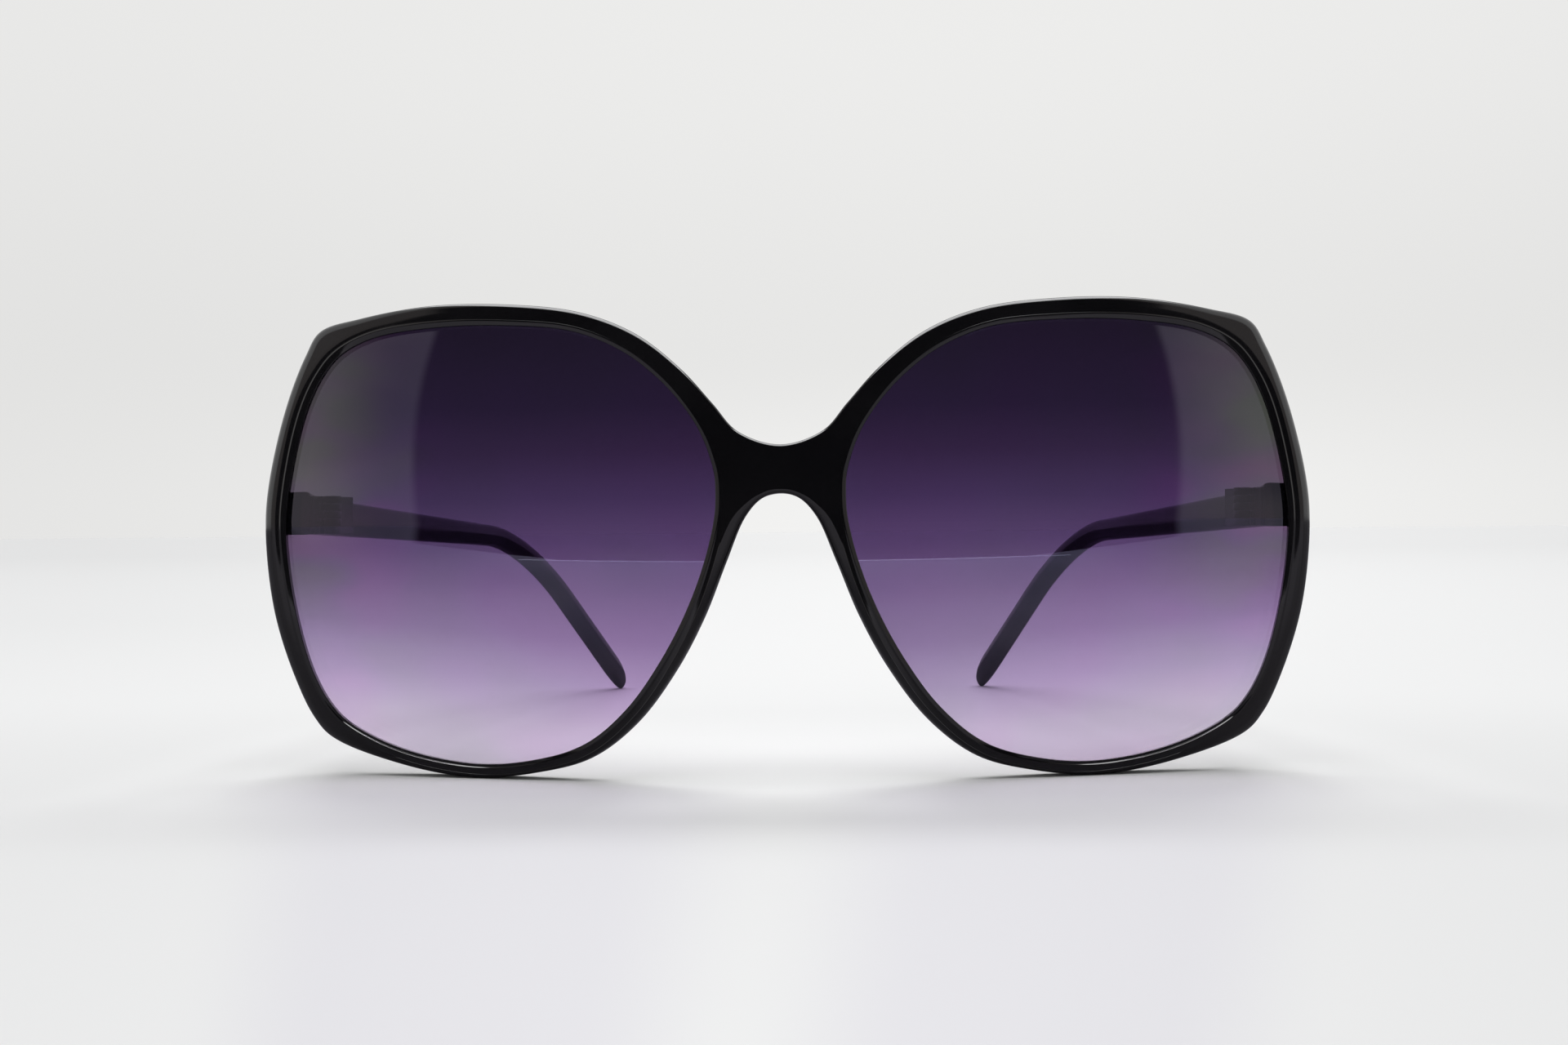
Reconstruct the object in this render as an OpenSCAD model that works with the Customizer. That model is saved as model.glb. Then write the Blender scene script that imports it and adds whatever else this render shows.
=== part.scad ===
// Oversized sunglasses: a moulded front with two tinted lenses, and two temples on five-barrel hinges.
// Millimetres. X across, the front faces -Y, Z up. The origin is the middle of the footprint on the table.
// Left and right are the wearer's: left is +X. Each piece is drawn for the left side and mirrored.

/* [Lenses] */
// Width of one lens opening
lens_w = 62.4; // [57:0.2:67]
// Height of one lens opening
lens_h = 61.2; // [55:0.2:65]
// Thickness of a lens
lens_t = 1.8; // [1.4:0.1:2.2]
// Radius of the front's curve from side to side
wrap_r = 210; // [160:5:320]
// Radius of the front's curve from top to bottom
face_r = 120; // [90:5:150]
// Height above the table at which that curve stands foremost
crown_z = 36; // [30:0.5:45]

/* [Front] */
// Width of the bridge between the lens openings
bridge_w = 17; // [15:0.5:20]
// Height of the bridge at its middle
bridge_h = 6.6; // [5.4:0.1:8]
// Height of the bridge's middle above the table
bridge_z = 43; // [40:0.2:46]
// Width of the rim as seen from the front
rim_w = 3; // [2.6:0.1:3.6]
// Thickness of the rim from front to back
rim_t = 4; // [3.6:0.1:4.6]
// How far the nose pads stand back from the rim
pad_l = 5.2; // [3:0.2:7]
// How far the endpieces stand back from the rim
endpiece_l = 2.6; // [2:0.1:4]

/* [Temples] */
// Straight length of a temple from its joint to the bend
straight_l = 76; // [66:1:84]
// Radius of the bend over the ear
bend_r = 50; // [35:1:60]
// Length of the straight drop behind the ear
drop_l = 28; // [20:1:36]
// Height of a temple at its joint
blade_h = 5.4; // [5:0.1:6]
// Height of a temple just before its bend
blade_end_h = 4; // [3.4:0.1:5]
// Thickness of a temple at its joint
blade_t = 4.4; // [3.8:0.1:5]
// Thickness of a temple from a third of its length on
blade_end_t = 3; // [2.4:0.1:3.6]
// Angle by which the straight part runs inwards
splay_in = 9; // [5:0.5:12]
// Angle by which the drop runs inwards
drop_in = 29; // [16:1:32]
// Angle by which the straight part slopes down
slope = 2.7; // [1:0.1:4]
// Angle that the left temple is folded by
fold_left = 0; // [0:1:77]
// Angle that the right temple is folded by
fold_right = 0; // [0:1:71]

/* [Hinges] */
// Height of the hinge's middle above the table
hinge_z = 37.4; // [34:0.2:40]
// Height of a hinge over its five barrels
hinge_h = 5.5; // [5:0.1:6.4]
// Diameter of the barrels
barrel_d = 2.4; // [2.2:0.1:2.8]
// Diameter of the hinge screw's shank
screw_d = 1.3; // [1:0.1:1.4]
// Thickness of a hinge leaf's plate
leaf_t = 0.8; // [0.6:0.05:1]
// Length of the temple's hinge leaf
leaf_l = 10.5; // [8:0.5:13]

/* [Hidden] */

front_colour = [0.05, 0.05, 0.06];
lens_colour = [0.3, 0.2, 0.4, 0.6];
hinge_colour = [0.2, 0.2, 0.22];
screw_colour = [0.42, 0.42, 0.44];

// Clearances
lens_gap = 0.05;
seat_gap = 0.03;
screw_gap = 0.04;
knuckle_gap = 0.06;
joint_gap = 0.1;
// Overrun of a cut past the face that it opens
cut_over = 1;

// Small sizes of the rim's section
groove_depth = 0.8;
lip_depth = 1.05;
bevel_w = 0.6;
edge_inset = 1.2;
edge_depth = 0.9;
edge_round_share = 0.3;
edge_limit_share = 0.85;
back_edge = 0.5;
back_land = 1.2;
pad_t = 1.6;
pad_flare = 0.9;
back_lip_set = 0.2;

// Small sizes of the hinge
barrel_stand = 0.9;
hinge_inset = 4.9;
leaf_proud = 0.5;
leaf_margin = 0.25;
arm_t = 0.9;
stud_d = 1.2;
stud_l = 2.2;
stud_height_share = 0.25;
temple_stud_shares = [0.36, 0.8];
barrel_count = 5;
screw_head_d = 2.1;
screw_head_h = 0.55;
screw_head_sunk = 0.5;
screw_slot_w = 0.36;
screw_slot_depth = 0.25;
screw_end = 0.15;

// Endpiece: how much taller it is than the temple where it leaves the rim, and its clear way behind the lens
endpiece_flare = 0.7;
endpiece_rise = 0.2;
endpiece_clear = 0.3;
endpiece_edge = 0.4;

// Temple tip
tip_l = 7;
tip_h = 4.4;
tip_end_share = 0.35;
tip_drop_share = 0.6;
tip_rise_share = 0.27;

// Parts of the temple's length over which it thins, and over which its section grows round
thin_share = 0.33;
round_share = 0.5;

// The lens opening, as shares of half its width and half its height about its middle.
// It runs from the bridge over the top to the temple, down, and back along the nose.
// The two rows at the endpiece have their height from the hinge instead.
opening_shares = [
    [-0.942, 0.452], [-0.904, 0.530], [-0.837, 0.628], [-0.740, 0.736], [-0.583, 0.861],
    [-0.353, 0.961], [-0.038, 0.998], [0.292, 1.000], [0.587, 0.963], [0.743, 0.890],
    [0.829, 0.794], [0.911, 0.616], [0.991, 0], [1.005, 0], [0.965, -0.299],
    [0.888, -0.592], [0.808, -0.742], [0.721, -0.827], [0.474, -0.942], [0.131, -1.005],
    [-0.151, -0.982], [-0.388, -0.904], [-0.580, -0.742], [-0.737, -0.524], [-0.856, -0.299],
    [-0.939, -0.077], [-0.984, 0.116], [-0.990, 0.223], [-0.986, 0.302], [-0.968, 0.377]];

// From each of those rows out to the rim's outer edge, as shares of the rim's width
rim_shares = [
    [0, 0], [0, 0], [-1.51, -0.09], [-1.08, 0.41], [-0.58, 0.84],
    [-0.34, 0.90], [-0.04, 1.02], [0.27, 1.07], [0.74, 1.01], [1.25, 1.22],
    [1.06, 1.03], [1.17, 0.24], [1.21, 0.03], [1.18, 0], [1.21, -0.19],
    [1.06, -0.41], [1.07, -0.66], [1.11, -0.75], [0.30, -0.78], [0.11, -0.72],
    [-0.18, -0.63], [-0.32, -0.68], [-0.56, -0.62], [-0.79, -0.39], [-0.87, -0.26], [-1.01, -0.05]];

// The bridge's edges from its middle, as shares of its width and height: first two rows and last three
bridge_top_shares = [[0, 0.495], [0.34, 0.78]];
bridge_arch_shares = [[0.28, -0.99], [0.145, -0.61], [0, -0.51]];

// The rows between which the nose pad stands back, and those between which the front's edge is rounder
pad_rows = [21.5, 27.8];
soft_rows = [20, 26.8];
soft_share = 0.9;

top_row = 12;
low_row = 13;
bottom_row = 19;
arch_row = 28;
row_count = 30;
steps = 3;
station_count = row_count * steps;
corner_angle = 40;
corner_bevel_share = 2;
bridge_margin_share = 0.2;

lens_x = bridge_w / 2 + lens_w / 2;
lens_z = -opening_shares[bottom_row][1] * lens_h / 2 - rim_shares[bottom_row][1] * rim_w;
slot_t = lens_t + 2 * lens_gap;

// The hinge's axis, the inner face of endpiece and temple beside it, and the plane in which they meet
hinge_x = bridge_w / 2 + lens_w - hinge_inset;
inner_x = hinge_x + barrel_d / 2 + barrel_stand;
end_x = lens_x + lens_w / 2 + rim_shares[low_row][0] * rim_w;
joint_y = curve_y(end_x, hinge_z, 0) + rim_t + endpiece_l;
endpiece_h = blade_h + endpiece_flare;
knuckle_h = (hinge_h - (barrel_count - 1) * knuckle_gap) / barrel_count;

// Where the front's curve lies at [x, z], d behind its foremost face. The curve is part of a torus.
function curve_y(x, z, d) =
    let (rho = wrap_r - face_r + sqrt(pow(face_r - d, 2) - pow(z - crown_z, 2)))
    wrap_r - sqrt(rho * rho - x * x);
function on_curve(p, d) = [p[0], curve_y(p[0], p[1], d), p[1]];

// A smooth curve through points: between p1 and p2, at share s, with knots spaced by the root of the distance
function knot(t, a, b) = t + sqrt(norm(b - a));
function blend_points(a, b, ta, tb, t) = ((tb - t) * a + (t - ta) * b) / (tb - ta);
function curve_point(p0, p1, p2, p3, s) =
    let (t1 = knot(0, p0, p1), t2 = knot(t1, p1, p2), t3 = knot(t2, p2, p3), t = t1 + (t2 - t1) * s,
         a1 = blend_points(p0, p1, 0, t1, t), a2 = blend_points(p1, p2, t1, t2, t),
         a3 = blend_points(p2, p3, t2, t3, t),
         b1 = blend_points(a1, a2, 0, t2, t), b2 = blend_points(a2, a3, t1, t3, t))
    blend_points(b1, b2, t1, t2, t);

// Rows of the opening and of the outer edge, in millimetres, as [x, z]
function row_z(i) =
    i == top_row ? hinge_z + endpiece_rise + endpiece_h / 2 :
    i == low_row ? hinge_z + endpiece_rise - endpiece_h / 2 :
    lens_z + opening_shares[i][1] * lens_h / 2;
opening_rows = [for (i = [0 : row_count - 1]) [lens_x + opening_shares[i][0] * lens_w / 2, row_z(i)]];
function bridge_point(share) = [share[0] * bridge_w, bridge_z + share[1] * bridge_h];
arch_first = arch_row - len(bridge_arch_shares) + 1;
outer_rows = [for (i = [0 : arch_row])
    i < len(bridge_top_shares) ? bridge_point(bridge_top_shares[i]) :
    i >= arch_first ? bridge_point(bridge_arch_shares[i - arch_first]) :
    opening_rows[i] + rim_shares[i] * rim_w];

function flip_x(p) = [-p[0], p[1]];
function opening_row(i) = opening_rows[(i + row_count) % row_count];
function outer_row(i) =
    i < 0 ? flip_x(outer_rows[-i]) :
    i > arch_row ? flip_x(outer_rows[2 * arch_row - i]) :
    outer_rows[i];
function opening_at(i, s) =
    curve_point(opening_row(i - 1), opening_row(i), opening_row(i + 1), opening_row(i + 2), s);
function outer_at(i, s) = curve_point(outer_row(i - 1), outer_row(i), outer_row(i + 1), outer_row(i + 2), s);
// Behind the arch's row the outer points climb the middle plane back to the bridge's top
bridge_margin = bridge_margin_share * bridge_h;
function middle_at(n) =
    [0, bridge_z - bridge_h / 2 + bridge_margin + (bridge_h - 2 * bridge_margin) * n / (2 * steps)];

function in_middle(k) = k > arch_row * steps;
function inner_pt(k) = opening_at(floor(k / steps), (k % steps) / steps);
function outer_pt(k) =
    in_middle(k) ? middle_at(k - arch_row * steps) : outer_at(floor(k / steps), (k % steps) / steps);
function unit(v) = v / norm(v);
// Inward normal of the outer edge
function inward(k) =
    k == 0 ? [0, -1] : k == arch_row * steps ? [0, 1] :
    let (t = outer_pt(k + 1) - outer_pt(k - 1)) unit([t[1], -t[0]]);

// Rises from nothing to one and falls again between two rows
function swell(rows, k) =
    let (t = (k / steps - rows[0]) / (rows[1] - rows[0])) t <= 0 || t >= 1 ? 0 : pow(sin(180 * t), 2);

// The bevel inside the rim is widest at the outer upper corner
function bevel_at(p) =
    let (v = p - [lens_x, lens_z], c = max(0, cos(atan2(v[1], v[0]) - corner_angle)))
    bevel_w * (1 + corner_bevel_share * pow(c, 3));

// One section of the rim: thirteen points from the lens's seat over the front, round the back and into the
// groove. In the middle plane, where the two halves meet, its outer points have one place in common.
middle_depths = [0, edge_depth * edge_round_share, edge_depth, rim_t - back_edge, rim_t, rim_t];
function rim_section(k) =
    let (a = inner_pt(k), b = outer_pt(k), w = norm(b - a), u = unit(b - a), n = inward(k),
         bevel = bevel_at(a), soft = 1 + soft_share * swell(soft_rows, k), front_d = edge_depth * soft,
         inset = min(edge_inset * soft, edge_limit_share * (w - bevel)),
         pad = swell(pad_rows, k), back_d = rim_t + pad_l * pad, flare = pad_flare * pad,
         land = flare + min(back_land, w / 2) + (pad_t - back_land) * pad)
    concat(
        [on_curve(a, lip_depth), on_curve(a + bevel * u, 0)],
        in_middle(k) ? [for (d = middle_depths) on_curve(b, d)] :
        [on_curve(b + inset * n, 0),
         on_curve(b + inset * edge_round_share * n, front_d * edge_round_share),
         on_curve(b, front_d),
         on_curve(b + flare * n, back_d - back_edge),
         on_curve(b + (flare + back_edge) * n, back_d),
         on_curve(b + land * n, back_d)],
        [on_curve(a + (back_lip_set + back_edge) * u, rim_t),
         on_curve(a + back_lip_set * u, rim_t - back_edge),
         on_curve(a + back_lip_set * u, lip_depth + slot_t),
         on_curve(a + groove_depth * u, lip_depth + slot_t),
         on_curve(a + groove_depth * u, lip_depth)]);

// At the endpiece the same section runs back to the joint, and in behind the lens to the hinge's face
function endpiece_section(k) =
    let (s = rim_section(k), z = s[4][2],
         z_joint = hinge_z + (z > hinge_z ? 1 : -1) * blade_h / 2,
         out_x = inner_x + blade_t)
    [for (j = [0 : section_n - 1])
        j == 5 ? [out_x, joint_y - endpiece_edge, z_joint] :
        j == 6 ? [out_x - endpiece_edge, joint_y, z_joint] :
        j == 7 ? [inner_x, joint_y, z_joint] :
        j == 8 ? [inner_x, curve_y(inner_x, z, rim_t + endpiece_clear), z] :
        s[j]];

section_n = 13;
top_k = top_row * steps;
low_k = low_row * steps;
half_sections = concat(
    [for (k = [0 : top_k]) rim_section(k)],
    [for (k = [top_k : low_k]) endpiece_section(k)],
    [for (k = [low_k : station_count - 1]) rim_section(k)]);

// Joins a ring of sections into one closed skin, without triangles that have no area or lie in the middle
function flat(lists) = [for (l = lists) each l];
tiny = pow(10, -7);
function off_middle(f, pts) = max([for (i = f) abs(pts[i][0])]) > tiny;
function has_area(f, pts) = norm(cross(pts[f[1]] - pts[f[0]], pts[f[2]] - pts[f[0]])) > tiny;
function ring_faces(rings, n, base) = flat([for (i = [0 : rings - 1], j = [0 : n - 1])
    let (i2 = (i + 1) % rings, j2 = (j + 1) % n,
         a = base + i * n + j, b = base + i * n + j2, c = base + i2 * n + j2, d = base + i2 * n + j)
    [[a, b, c], [a, c, d]]]);
function turned(f) = [f[0], f[2], f[1]];

// A point that repeats the one before it in the ring, or its twin across the middle plane, is used only once
function shared(i, pts) =
    i >= len(pts) / 2 ? shared(i - len(pts) / 2, pts) + (abs(pts[i][0]) < tiny ? 0 : len(pts) / 2) :
    i >= section_n && norm(pts[i] - pts[i - section_n]) < tiny ? i - section_n : i;

module front_skin() {
    left = flat(half_sections);
    right = [for (p = left) [-p[0], p[1], p[2]]];
    points = concat(left, right);
    rings = len(half_sections);
    left_faces = ring_faces(rings, section_n, 0);
    right_faces = [for (f = ring_faces(rings, section_n, len(left))) turned(f)];
    polyhedron(points, [for (f = concat(left_faces, right_faces))
        if (off_middle(f, points) && has_area(f, points)) [for (i = f) shared(i, points)]]);
}

// Everything is drawn about the curve's foremost point and moved so that the footprint is centred
module placed() translate([0, -(front_y + back_y) / 2, 0]) children();
module right_side() mirror([1, 0, 0]) children();

// Places a piece at the hinge's axis, with +X outwards and +Y to the rear
module at_hinge() translate([hinge_x, joint_y, hinge_z]) children();
// Turns a piece with the temple about the hinge's axis
module folded(angle) at_hinge() rotate([0, 0, angle]) translate([-hinge_x, -joint_y, -hinge_z]) children();

module front_frame() color(front_colour) placed() difference() {
    front_skin();
    front_leaf_socket();
    right_side() front_leaf_socket();
}

module lens_outline() polygon([for (k = [0 : station_count - 1])
    let (a = inner_pt(k), u = unit(outer_pt(k) - a)) a + (groove_depth - lens_gap) * u]);

// A shell between two depths of the front's curve
module curved_shell(d0, d1) translate([0, wrap_r, crown_z]) rotate_extrude($fn = 180)
    translate([wrap_r - face_r, 0]) intersection() {
        difference() {
            circle(r = face_r - d0, $fn = 180);
            circle(r = face_r - d1, $fn = 180);
        }
        translate([face_r / 2, -lens_h]) square([face_r, 2 * lens_h]);
    }

module lens() color(lens_colour) placed() intersection() {
    curved_shell(lip_depth + lens_gap, lip_depth + lens_gap + lens_t);
    translate([0, joint_y, 0]) rotate([90, 0, 0]) linear_extrude(height = 2 * joint_y) lens_outline();
}

// The temple's centreline: a straight, a bend and a drop that ends on the table
drop_pitch =
    let (k = tip_h * tip_rise_share - hinge_z + straight_l * sin(slope) + bend_r * cos(slope))
    acos(k / norm([bend_r, drop_l])) - atan2(drop_l, bend_r);
bend_l = bend_r * (drop_pitch - slope) * PI / 180;
temple_l = straight_l + bend_l + drop_l;
function bend_share(s) = min(1, max(0, (s - straight_l) / bend_l));
function pitch_at(s) = slope + (drop_pitch - slope) * bend_share(s);
function heading_at(s) = splay_in + (drop_in - splay_in) * bend_share(s);
function step_between(s0, s1) =
    let (s = (s0 + s1) / 2, b = pitch_at(s), a = heading_at(s))
    (s1 - s0) * [-cos(b) * sin(a), cos(b) * cos(a), -sin(b)];
straight_steps = 8;
bend_steps = 12;
drop_steps = 4;
tip_steps = 6;
temple_stations = concat(
    [for (i = [0 : straight_steps - 1]) straight_l * i / straight_steps],
    [for (i = [0 : bend_steps - 1]) straight_l + bend_l * i / bend_steps],
    [for (i = [0 : drop_steps - 1]) straight_l + bend_l + (drop_l - tip_l) * i / drop_steps],
    [for (i = [0 : tip_steps]) temple_l - tip_l + tip_l * sin(90 * i / tip_steps)]);
function running(list, i, at) = i >= len(list) ? [] : concat([at], running(list, i + 1, at + list[i]));
temple_start = [inner_x + blade_t / 2, joint_y, hinge_z];
temple_path = running(
    [for (i = [0 : len(temple_stations) - 1])
        i + 1 < len(temple_stations) ? step_between(temple_stations[i], temple_stations[i + 1]) : [0, 0, 0]],
    0, temple_start);

// Height and thickness along the temple
function lerp(a, b, s) = a + (b - a) * min(1, max(0, s));
function blade_height(s) = s < straight_l ? lerp(blade_h, blade_end_h, s / straight_l) :
    lerp(blade_end_h, tip_h, (s - straight_l) / (temple_l - tip_l - straight_l));
function blade_thickness(s) = lerp(blade_t, blade_end_t, s / (thin_share * temple_l));
function tip_scale(s) =
    let (t = max(0, (s - (temple_l - tip_l)) / tip_l))
    tip_end_share + (1 - tip_end_share) * sqrt(max(0, 1 - t * t));
// Roundness of the section: nearly square at the joint, round behind the ear
square_power = 6;
round_power = 2.6;
section_sides = 16;
function signed_power(v, e) = sign(v) * pow(abs(v), e);
function blade_section(i) =
    let (s = temple_stations[i], a = heading_at(s), b = pitch_at(s), f = tip_scale(s),
         h = blade_height(s), hh = h * f / 2, tt = blade_thickness(s) * f / 2,
         power = 2 / lerp(square_power, round_power, s / (round_share * temple_l)),
         up = [-sin(b) * sin(a), sin(b) * cos(a), cos(b)], out = [cos(a), sin(a), 0],
         along = [-cos(b) * sin(a), cos(b) * cos(a), -sin(b)],
         middle = temple_path[i] - up * (h / 2 - hh) * tip_drop_share)
    [for (j = [0 : section_sides - 1])
        let (q = 360 * (j + 0.5) / section_sides,
             p = middle + out * tt * signed_power(cos(q), power) + up * hh * signed_power(sin(q), power))
        i == 0 ? p + along * (joint_y + joint_gap - p[1]) / along[1] : p];
temple_rings = [for (i = [0 : len(temple_stations) - 1]) blade_section(i)];
back_y = max([for (ring = temple_rings, p = ring) p[1]]);
front_y = min([for (ring = half_sections, p = ring) p[1]]);

module temple_blade() {
    n = section_sides;
    rings = len(temple_rings);
    sides = [for (i = [0 : rings - 2], j = [0 : n - 1]) each
        let (a = i * n + j, b = i * n + (j + 1) % n, c = b + n, d = a + n) [[a, b, c], [a, c, d]]];
    front_cap = [for (j = [1 : n - 2]) [0, j + 1, j]];
    back_cap = [for (j = [1 : n - 2]) (rings - 1) * n * [1, 1, 1] + [0, j, j + 1]];
    polyhedron(flat(temple_rings), concat(sides, front_cap, back_cap));
}

module temple(angle) color(front_colour) placed() folded(angle) difference() {
    temple_blade();
    temple_leaf_socket();
}

// The hinge's leaves. A plate lies in the face of the plastic with two studs, and arms carry the barrels.
face_x = barrel_d / 2 + barrel_stand;
front_leaf_l = joint_y - curve_y(inner_x, hinge_z, rim_t + endpiece_clear) - 2 * leaf_margin;
stud_z = hinge_h * stud_height_share;
module plate(length, gap) translate([face_x - leaf_proud - gap, -gap, -hinge_h / 2 - gap])
    cube([leaf_t + 2 * gap, length + 2 * gap, hinge_h + 2 * gap]);
module studs(places, gap) for (y = places, z = [-stud_z, stud_z])
    translate([face_x - leaf_proud + leaf_t / 2, y, z]) rotate([0, 90, 0])
        cylinder(d = stud_d + 2 * gap, h = leaf_t / 2 + stud_l + gap, $fn = 32);
function knuckle_z(i) = -hinge_h / 2 + i * (knuckle_h + knuckle_gap);
module knuckles(first, side) for (i = [first : 2 : barrel_count - 1]) translate([0, 0, knuckle_z(i)]) {
    cylinder(d = barrel_d, h = knuckle_h, $fn = 48);
    translate([0, side > 0 ? barrel_d / 2 - arm_t : -barrel_d / 2, 0])
        cube([face_x - leaf_proud + leaf_t / 2, arm_t, knuckle_h]);
}
module screw_bore() translate([0, 0, -hinge_h / 2 - cut_over])
    cylinder(d = screw_d + 2 * screw_gap, h = hinge_h + 2 * cut_over, $fn = 48);
module head_bore() translate([0, 0, hinge_h / 2 - screw_head_sunk - screw_gap])
    cylinder(d = screw_head_d + 2 * screw_gap, h = screw_head_h + cut_over, $fn = 48);

front_studs = [-front_leaf_l / 2 - leaf_margin];
temple_studs = temple_stud_shares * leaf_l;
module front_leaf_shape(gap) {
    translate([0, -front_leaf_l - leaf_margin, 0]) plate(front_leaf_l, gap);
    studs(front_studs, gap);
}
module temple_leaf_shape(gap) along_blade() {
    translate([0, leaf_margin, 0]) plate(leaf_l, gap);
    studs(temple_studs, gap);
}
// Turns a piece about the corner of the temple's inner face, so that it lies along that face
module along_blade() translate([face_x, 0, 0]) rotate([0, 0, splay_in]) translate([-face_x, 0, 0]) children();

module front_leaf_socket() at_hinge() front_leaf_shape(seat_gap);
module temple_leaf_socket() at_hinge() temple_leaf_shape(seat_gap);

module front_hinge_leaf() color(hinge_colour) placed() at_hinge() difference() {
    union() {
        front_leaf_shape(0);
        knuckles(0, -1);
    }
    screw_bore();
    head_bore();
}

module temple_hinge_leaf(angle) color(hinge_colour) placed() folded(angle) at_hinge() difference() {
    union() {
        temple_leaf_shape(0);
        knuckles(1, 1);
    }
    screw_bore();
}

head_z = hinge_h / 2 - screw_head_sunk;
module hinge_screw() color(screw_colour) placed() at_hinge() difference() {
    union() {
        translate([0, 0, head_z]) cylinder(d = screw_head_d, h = screw_head_h, $fn = 48);
        translate([0, 0, -hinge_h / 2 + screw_end])
            cylinder(d = screw_d, h = hinge_h - screw_end - screw_head_sunk / 2, $fn = 48);
    }
    translate([-screw_head_d, -screw_slot_w / 2, head_z + screw_head_h - screw_slot_depth])
        cube([2 * screw_head_d, screw_slot_w, screw_slot_depth + cut_over]);
}

module lens_left() lens();
module lens_right() right_side() lens();
module temple_left() temple(fold_left);
module temple_right() right_side() temple(fold_right);
module front_hinge_leaf_left() front_hinge_leaf();
module front_hinge_leaf_right() right_side() front_hinge_leaf();
module temple_hinge_leaf_left() temple_hinge_leaf(fold_left);
module temple_hinge_leaf_right() right_side() temple_hinge_leaf(fold_right);
module hinge_screw_left() hinge_screw();
module hinge_screw_right() right_side() hinge_screw();

front_frame();
lens_left();
lens_right();
temple_left();
temple_right();
front_hinge_leaf_left();
front_hinge_leaf_right();
temple_hinge_leaf_left();
temple_hinge_leaf_right();
hinge_screw_left();
hinge_screw_right();
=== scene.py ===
# %% [markdown]
# # Oversized sunglasses
# The imported CAD model gives the bodies, the joints and every size. This lesson dresses it: a polished
# black front, two graded purple lenses, two temples and two small hinges with their screws. Each piece
# first gets a cell of words on what it is and how it is made, and then short cells of code.

# %% Load the frame
import bpy
import bmesh
from math import acos, atan2, cos, degrees, floor, hypot, pi, radians, sin, sqrt, tan
import numpy as np
from mathutils import Matrix


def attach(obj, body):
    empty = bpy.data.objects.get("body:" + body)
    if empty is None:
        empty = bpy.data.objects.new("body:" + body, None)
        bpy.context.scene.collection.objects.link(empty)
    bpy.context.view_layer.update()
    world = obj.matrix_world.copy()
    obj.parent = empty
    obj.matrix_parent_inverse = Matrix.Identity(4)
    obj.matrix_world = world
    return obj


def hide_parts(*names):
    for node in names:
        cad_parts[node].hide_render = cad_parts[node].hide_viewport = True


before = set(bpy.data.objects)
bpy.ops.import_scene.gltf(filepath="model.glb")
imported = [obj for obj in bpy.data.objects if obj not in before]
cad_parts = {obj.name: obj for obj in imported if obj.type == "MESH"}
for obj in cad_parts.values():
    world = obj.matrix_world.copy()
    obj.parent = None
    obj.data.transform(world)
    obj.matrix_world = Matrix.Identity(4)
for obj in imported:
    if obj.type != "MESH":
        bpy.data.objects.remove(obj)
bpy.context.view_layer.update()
MM = 0.001
FRONT = {"left": "front", "right": "front"}
ARMS = {"left": "temple_left_arm", "right": "temple_right_arm"}

# %% [markdown]
# ## Node trees as sums
# A finish is a small sum: a tint times a mask, plus some grain. Wiring each Math node by hand hides that
# sum. A wrapper round a socket lets Python's own + - * / ** add the nodes, so that the code reads as the
# sum does. The same wrapper serves shaders and Geometry Nodes.

# %% Write node sums as Python sums
def plug(tree, value, socket):
    """Sets a socket, or links it when the value is itself an output."""
    if isinstance(value, Wire):
        tree.links.new(value.socket, socket)
    else:
        socket.default_value = value


def add_node(tree, kind, settings=None, out=0, **values):
    """Adds any node: its settings first, then its sockets by name, or by number as in _0."""
    node = tree.nodes.new(kind)
    for name, setting in (settings or {}).items():
        if name == "capture_items":
            for item in setting:
                node.capture_items.new(*item)
        else:
            setattr(node, name, setting)
    for name, value in values.items():
        key = int(name[1:]) if name[0] == "_" else name.replace("_", " ")
        plug(tree, value, node.inputs[key])
    return Wire(tree, node.outputs[out] if node.outputs else None, node)


class Wire:
    """An output of a node, with the operators that add Math nodes."""

    def __init__(self, tree, socket, node=None):
        self.tree, self.socket, self.node = tree, socket, node

    def math(self, operation, *values):
        return add_node(self.tree, "ShaderNodeMath", {"operation": operation},
                        **{f"_{i}": v for i, v in enumerate(values)})

    def __abs__(self):
        return self.math("ABSOLUTE", self)

    def clipped(self, low=0.0, high=1.0):
        return self.math("MINIMUM", self.math("MAXIMUM", self, low), high)

    def output(self, name):
        return Wire(self.tree, self.node.outputs[name], self.node)


def operator(operation, turned_round):
    """A method that adds one Math node, also for sums that start with a number, such as 1 - mask."""
    def add(self, other):
        return self.math(operation, *((other, self) if turned_round else (self, other)))
    return add


for sign, operation in {"add": "ADD", "sub": "SUBTRACT", "mul": "MULTIPLY", "truediv": "DIVIDE",
                        "pow": "POWER"}.items():
    setattr(Wire, f"__{sign}__", operator(operation, False))
    setattr(Wire, f"__r{sign}__", operator(operation, True))


def axes(vector):
    """The X, Y and Z of a vector."""
    parts = add_node(vector.tree, "ShaderNodeSeparateXYZ", Vector=vector)
    return [parts.output(axis) for axis in "XYZ"]


def smooth_step(value, low, high):
    """Rises gently from 0 to 1 while the value goes from low to high."""
    return add_node(value.tree, "ShaderNodeMapRange", {"interpolation_type": "SMOOTHSTEP"},
                    Value=value, From_Min=low, From_Max=high)


def stepped(value, level, rows):
    """A level that each row of low, high and amount raises or lowers by a smooth step."""
    for low, high, amount in rows:
        level = level + smooth_step(value, low, high) * amount
    return level


def plateau(value, rise, fall):
    """1 between two smooth steps, and 0 before and past them."""
    return smooth_step(value, *rise) * (1 - smooth_step(value, *fall))


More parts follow.
